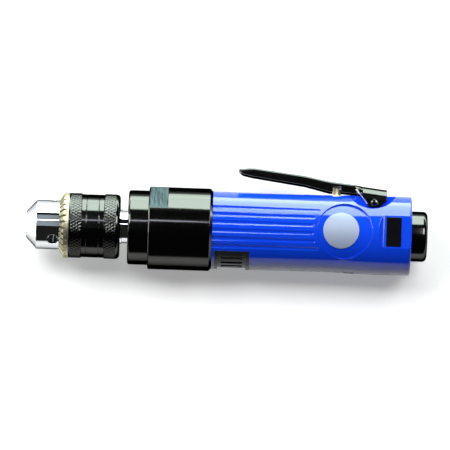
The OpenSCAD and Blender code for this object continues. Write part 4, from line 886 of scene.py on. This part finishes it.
@dataclass
class Throttle(SubAssembly):
    """Throttle lever of folded sheet, its pin, the plunger and the valve.

    The lever's lines, ears and notch are measured from the middle of the pin.
    """

    pivot_x: float = 123.45
    pivot_y: float = 16.5
    top_line: Line = ((-71.5, 15.5), (-64.5, 16.3), (-36.7, 13.0), (-23.5, 10.4), (-10.0, 9.1), (6.4, 7.2))
    low_line: Line = ((-71.5, 14.9), (-69.3, 13.1), (-64.5, 12.1), (-36.7, 8.3), (-23.5, 5.2),
                      (-17.4, 5.2), (-8.2, 4.5), (-2.8, -2.6), (2.8, -2.6), (6.4, 1.0))
    top_ease: float = 2.4
    low_ease: float = 0.6
    least_height: float = 0.5
    least_wall: float = 0.05
    front_half: float = 6.4
    ear_half: float = 8.1
    ear_start: float = -12.4
    ear_end: float = -11.0
    ear_lean: float = 0.766
    sheet: float = 1.5
    outer_bends: Span = (1.1, 5.9)
    inner_bends: Span = (0.4, 2.6)
    most_bend: float = 0.92
    hole_r: float = 1.85
    hole_dome: float = 0.1
    pin_r: float = 1.8
    pin_dome: float = 0.35
    notch_x: float = -19.8
    notch_width: float = 4.3
    notch_top: float = 8.1
    station_step: float = 0.45
    side_steps: int = 5
    bend_steps: int = 8
    top_steps: int = 4
    post_segments: int = 48
    dome_steps: int = 6
    sharp_degrees: float = 38.0

    def __post_init__(self) -> None:
        """Names each solid's finish and the half width of the cutters."""
        self.finishes = {
            "throttle_plunger": BRASS, "plunger_bush": BRASS, "valve_seat": BRASS, "plunger_seal": RUBBER,
            "valve_poppet": NYLON, "valve_spring": TOOL_STEEL, "regulator_screw": TOOL_STEEL,
            "regulator_seal": RUBBER}
        self.waste_half = 2.0 * self.ear_half

    def _point(self, x: float, y: float, z: float) -> Point:
        """Point in metres at a place measured from the pin."""
        return (self.pivot_x + x) * MM, (self.pivot_y + y) * MM, z * MM

    def _folded(self, half: float, bend: float, top: float, low: float) -> list[Span]:
        """One side of a plain folded section.

        Args:
            half: Half of the section's width.
            bend: Radius of the fold.
            top: Height of the top.
            low: Height of the lower edge.

        Returns:
            Places and heights from the lower edge to the middle of the top.
        """
        bend = min(bend, self.most_bend * (top - low), self.most_bend * half)
        side = [(half, low + (top - bend - low) * i / self.side_steps) for i in range(self.side_steps + 1)]
        fold = [(half - bend + bend * math.cos(a), top - bend + bend * math.sin(a))
                for a in quarter(self.bend_steps)[1:]]
        flat = [((half - bend) * (1.0 - i / self.top_steps), top) for i in range(1, self.top_steps + 1)]
        return side + fold + flat

    def _half_section(self, x: float, inset: float, top: float, low: float, bends: Span) -> list[Span]:
        """One side of the section at x, which goes from the narrow front to the wide ears.

        Args:
            x: Station from the pin.
            inset: Depth under the outer face.
            top: Height of the top.
            low: Height of the lower edge.
            bends: Radius of the fold at the front and at the ears.

        Returns:
            Places and heights from the lower edge to the middle of the top.
        """
        front = self._folded(self.front_half - inset, bends[0], top, low)
        ear = self._folded(self.ear_half - inset, bends[1], top, low)
        points = []
        for (z0, y0), (z1, y1) in zip(front, ear):
            place = x - self.ear_lean * (top - y1)
            share = min(1.0, max(0.0, (place - self.ear_start) / (self.ear_end - self.ear_start)))
            points.append((z0 + (z1 - z0) * share, y0 + (y1 - y0) * share))
        return points

    def _section(self, x: float) -> list[Point]:
        """Closed ring of points round the folded sheet.

        Args:
            x: Station from the pin.

        Returns:
            The points, in metres.
        """
        top = eased(self.top_line, x, self.top_ease)
        low = min(eased(self.low_line, x, self.low_ease), top - self.least_height)
        inner_top = max(top - self.sheet, low + self.least_wall)
        outer = self._half_section(x, 0.0, top, low, self.outer_bends)
        inner = self._half_section(x, self.sheet, inner_top, low, self.inner_bends)
        over = outer + [(-z, y) for z, y in reversed(outer[:-1])]
        under = [(-z, y) for z, y in inner] + list(reversed(inner[:-1]))
        return [self._point(x, y, z) for z, y in over + under]

    def _post(self, name: str, radius: float, half: float, dome: float) -> bpy.types.Object:
        """Makes a round bar across the lever at its pin, with domed ends.

        Args:
            name: The new object's name.
            radius: The bar's radius.
            half: Half of its length without the domes.
            dome: Height of a dome.

        Returns:
            The new object.
        """
        ends = [(half + dome * math.sin(a), radius * math.cos(a)) for a in quarter(self.dome_steps)[:-1]]
        angles = [TURN * k / self.post_segments for k in range(self.post_segments)]
        rings = []
        for z, r in [(-z, r) for z, r in reversed(ends)] + ends:
            rings.append([self._point(r * math.cos(a), r * math.sin(a), z) for a in angles])
        return MeshMaker.loft(name, rings, False)

    def _notch(self) -> bpy.types.Object:
        """Makes the waste of the notch in the lever's sides beside the plunger.

        Returns:
            The new object.
        """
        x0, x1 = self.notch_x - self.notch_width / 2.0, self.notch_x + self.notch_width / 2.0
        corners = ((x0, 0.0), (x1, 0.0), (x1, self.notch_top), (x0, self.notch_top))
        rings = [[self._point(x, y, z) for x, y in corners] for z in (-self.waste_half, self.waste_half)]
        return MeshMaker.loft("notch_waste", rings, False)

    def build(self) -> None:
        """Builds the folded lever and the domed pin."""
        stations = spaced(self.top_line[0][0], self.top_line[-1][0], self.station_step)
        lever = MeshMaker.loft("folded_lever", [self._section(x) for x in stations], False, self.sharp_degrees)
        hole = self._post("hole_waste", self.hole_r, self.waste_half, self.hole_dome)
        MeshMaker.cut(lever, [hole, self._notch()], self.sharp_degrees)
        self.put(lever, "throttle_lever", "throttle_lever", "black_steel", LEVER_STEEL)
        pin = self._post("domed_lever_pin", self.pin_r, self.ear_half, self.pin_dome)
        self.put(pin, "housing", "lever_pin", "black_steel", BLACK_STEEL)


@dataclass
class Inlet(SubAssembly):
    """Screwed inlet bush with its tapped hole, seal and screen."""

    spigot_front: float = 131.15
    flange_front: float = 143.05
    rear: float = 151.65
    spigot_r: float = 8.95
    flange_r: float = 13.2
    edge: float = 0.3
    rear_round: float = 2.4
    thread_r: float = 5.72
    thread_front: float = 138.65
    thread_run_out: float = 0.4
    thread_pitch: float = 1.337
    thread_depth: float = 0.6
    thread_gain: float = 1.25
    thread_land: float = 0.12
    thread_step: float = 0.15
    mouth_chamfer: float = 0.9
    through_r: float = 4.72
    rim_steps: int = 10
    segments: int = 120

    def __post_init__(self) -> None:
        """Names each solid's finish."""
        self.finishes = {"inlet_seal": RUBBER, "inlet_screen": BRASS}

    def _thread(self, x: float, angle: float) -> float:
        """Radius of the tapped wall, a groove that winds along the axis.

        Args:
            x: Station along the axis.
            angle: Angle round the axis.

        Returns:
            The radius.
        """
        turn = x / self.thread_pitch - angle / TURN
        rise = 1.0 - abs(2.0 * (turn - math.floor(turn)) - 1.0)
        return self.thread_r + self.thread_depth * min(1.0, max(0.0, self.thread_gain * rise - self.thread_land))

    def build(self) -> None:
        """Builds the bush with a real thread."""
        rows: list[Row] = [
            (self.spigot_front, constant(self.through_r)), (self.spigot_front, constant(self.spigot_r)),
            (self.flange_front, constant(self.spigot_r)),
            (self.flange_front, constant(self.flange_r - self.edge)),
            (self.flange_front + self.edge, constant(self.flange_r))]
        rows += rounded_rim(self.rear, self.flange_r, self.rear_round, self.rim_steps)
        rows.append((self.rear, constant(self.thread_r + self.mouth_chamfer)))
        stations = spaced(self.rear - self.mouth_chamfer, self.thread_front + self.thread_run_out, self.thread_step)
        rows += [(x, self._thread) for x in stations]
        rows += [(self.thread_front, constant(self.thread_r)), (self.thread_front, constant(self.through_r))]
        bush = MeshMaker.turned("tapped_inlet_bush", rows, self.segments)
        self.put(bush, "housing", "inlet_bush", "black_steel", BLACK_STEEL)


@dataclass(frozen=True)
class Lamp:
    """A rectangular lamp: its middle, aim and sides in mm, its face's brightness, where 1 is white, and tint."""

    # Share of X in a lamp's direction from which its first side lies along Y instead of X.
    ENDWISE: ClassVar[float] = 0.7

    name: str
    place: Point
    aim: Point
    size: Span
    radiance: float
    tint: Colour = (1.0, 1.0, 1.0)

    def build(self) -> None:
        """Sets the lamp up, facing its aim."""
        data = bpy.data.lights.new(self.name, "AREA")
        data.shape = "RECTANGLE"
        data.size, data.size_y = self.size[0] * MM, self.size[1] * MM
        data.energy = self.radiance * math.pi * data.size * data.size_y
        data.color = self.tint
        made = bpy.data.objects.new(self.name, data)
        back = (Vector(self.place) - Vector(self.aim)).normalized()
        side = Vector((1.0, 0.0, 0.0)) if abs(back.x) < self.ENDWISE else Vector((0.0, 1.0, 0.0))
        up = back.cross(side).normalized()
        made.matrix_world = Matrix((up.cross(back), up, back)).transposed().to_4x4()
        made.matrix_world.translation = Vector(self.place) * MM
        show(made)


SOFT_TINT = (0.86, 1.0, 0.92)
STRIP_TINT = (0.82, 0.84, 1.0)
PANEL_TINT = (0.8, 0.92, 1.0)
LAMPS = (
    Lamp("lever_side_softbox", place=(45.0, 1427.0, 473.0), aim=(45.0, 0.0, 10.0), size=(780.0, 1062.0),
         radiance=10.2, tint=SOFT_TINT),
    Lamp("lever_side_card", place=(45.0, 812.0, -21.0), aim=(45.0, 812.0, 100.0), size=(900.0, 1375.0),
         radiance=10.2, tint=SOFT_TINT),
    Lamp("overhead_strip", place=(-160.0, 235.0, 880.0), aim=(-160.0, 0.0, 0.0), size=(390.0, 45.0),
         radiance=8.0, tint=STRIP_TINT),
    Lamp("nose_panel", place=(-160.0, 215.0, 890.0), aim=(-160.0, 0.0, 0.0), size=(186.0, 890.0),
         radiance=0.42, tint=PANEL_TINT),
    Lamp("nose_key", place=(-365.0, 300.0, 780.0), aim=(45.0, 0.0, 0.0), size=(400.0, 400.0), radiance=12.8),
    Lamp("inlet_key", place=(455.0, 300.0, 780.0), aim=(45.0, 0.0, 0.0), size=(400.0, 400.0), radiance=10.4),
    Lamp("nose_card", place=(-620.0, 165.0, 90.0), aim=(0.0, 165.0, 0.0), size=(470.0, 220.0), radiance=4.0),
    Lamp("nose_floor_card", place=(-365.0, 170.0, -21.0), aim=(-365.0, 170.0, 100.0), size=(470.0, 460.0),
         radiance=4.0))


@dataclass
class Studio:
    """White floor, soft lamps and the camera of the picture."""

    floor_z: float = -21.75
    floor_side: float = 6000.0
    floor_white: float = 0.73
    floor_glow: float = 0.32
    floor_bounce: float = 0.08
    ambient: float = 0.015
    camera_aim: Point = (45.5, 2.8, 0.0)
    camera_elevation: float = 84.0
    camera_roll: float = 1.9
    camera_distance: float = 3000.0
    focal_pixels: float = 5710.0
    picture_pixels: float = 450.0
    sensor_mm: float = 36.0
    clip_metres: Span = (0.05, 20.0)

    def _floor(self) -> None:
        """Lays the white floor, which keeps the shadow."""
        half = self.floor_side * MM / 2.0
        corners = [(-half, -half, 0.0), (half, -half, 0.0), (half, half, 0.0), (-half, half, 0.0)]
        mesh = bpy.data.meshes.new("floor")
        mesh.from_pydata(corners, [], [tuple(range(len(corners)))])
        mesh.materials.append(self._floor_material())
        floor = bpy.data.objects.new("floor", mesh)
        floor.location.z = self.floor_z * MM
        show(floor)

    def _floor_material(self) -> bpy.types.Material:
        """Makes the floor white to the camera and in gloss, and dim as a source of light.

        Returns:
            The finished material.
        """
        shader = Shader("floor_white")
        path = shader.node("ShaderNodeLightPath").outputs
        seen = (Value(shader, path["Is Camera Ray"]) + Value(shader, path["Is Glossy Ray"])
                + Value(shader, path["Is Transmission Ray"])).clamped()
        matt = shader.node("ShaderNodeBsdfDiffuse", None, {"Color": (self.floor_white,) * 3})
        glow = shader.node("ShaderNodeEmission", None, {"Strength": self.floor_glow})
        white = shader.node("ShaderNodeAddShader", None, {0: matt.outputs[0], 1: glow.outputs[0]})
        bounce = shader.node("ShaderNodeBsdfDiffuse", None, {"Color": (self.floor_bounce,) * 3})
        both = shader.node("ShaderNodeMixShader", None, {0: seen, 1: bounce.outputs[0], 2: white.outputs[0]})
        shader.node("ShaderNodeOutputMaterial", None, {"Surface": both.outputs[0]})
        return shader.material

    def _camera(self) -> None:
        """Sets the camera above the tool, a little towards its belly."""
        data = bpy.data.cameras.new("camera")
        data.sensor_width = self.sensor_mm
        data.lens = self.sensor_mm * self.focal_pixels / self.picture_pixels
        data.clip_start, data.clip_end = self.clip_metres
        rise = math.radians(self.camera_elevation)
        back = Vector((0.0, -math.cos(rise), math.sin(rise)))
        right = Vector((1.0, 0.0, 0.0))
        upright = Matrix((right, back.cross(right), back)).transposed()
        turned = upright @ Matrix.Rotation(math.radians(self.camera_roll), 3, "Z")
        camera = bpy.data.objects.new("camera", data)
        camera.matrix_world = turned.to_4x4()
        camera.matrix_world.translation = (Vector(self.camera_aim) + back * self.camera_distance) * MM
        show(camera)
        bpy.context.scene.camera = camera

    def _world(self) -> None:
        """Fills the room with a little even light."""
        world = bpy.data.worlds.new("room")
        world.use_nodes = True
        light = world.node_tree.nodes["Background"].inputs
        light["Color"].default_value = (1.0, 1.0, 1.0, 1.0)
        light["Strength"].default_value = self.ambient
        bpy.context.scene.world = world

    def build(self) -> None:
        """Builds floor, room, lamps and camera."""
        self._floor()
        self._world()
        for lamp in LAMPS:
            lamp.build()
        self._camera()
        bpy.context.scene.view_settings.view_transform = "Standard"


def main() -> None:
    """Builds and dresses every group, then lights the scene."""
    logging.basicConfig(level=logging.INFO, format="%(message)s")
    for group in (Chuck(), GearHead(), Motor(), Housing(), Throttle(), Inlet()):
        log.info("building %s", type(group).__name__)
        group.build()
        group.dress()
    Studio().build()


if __name__ == "__main__":
    main()
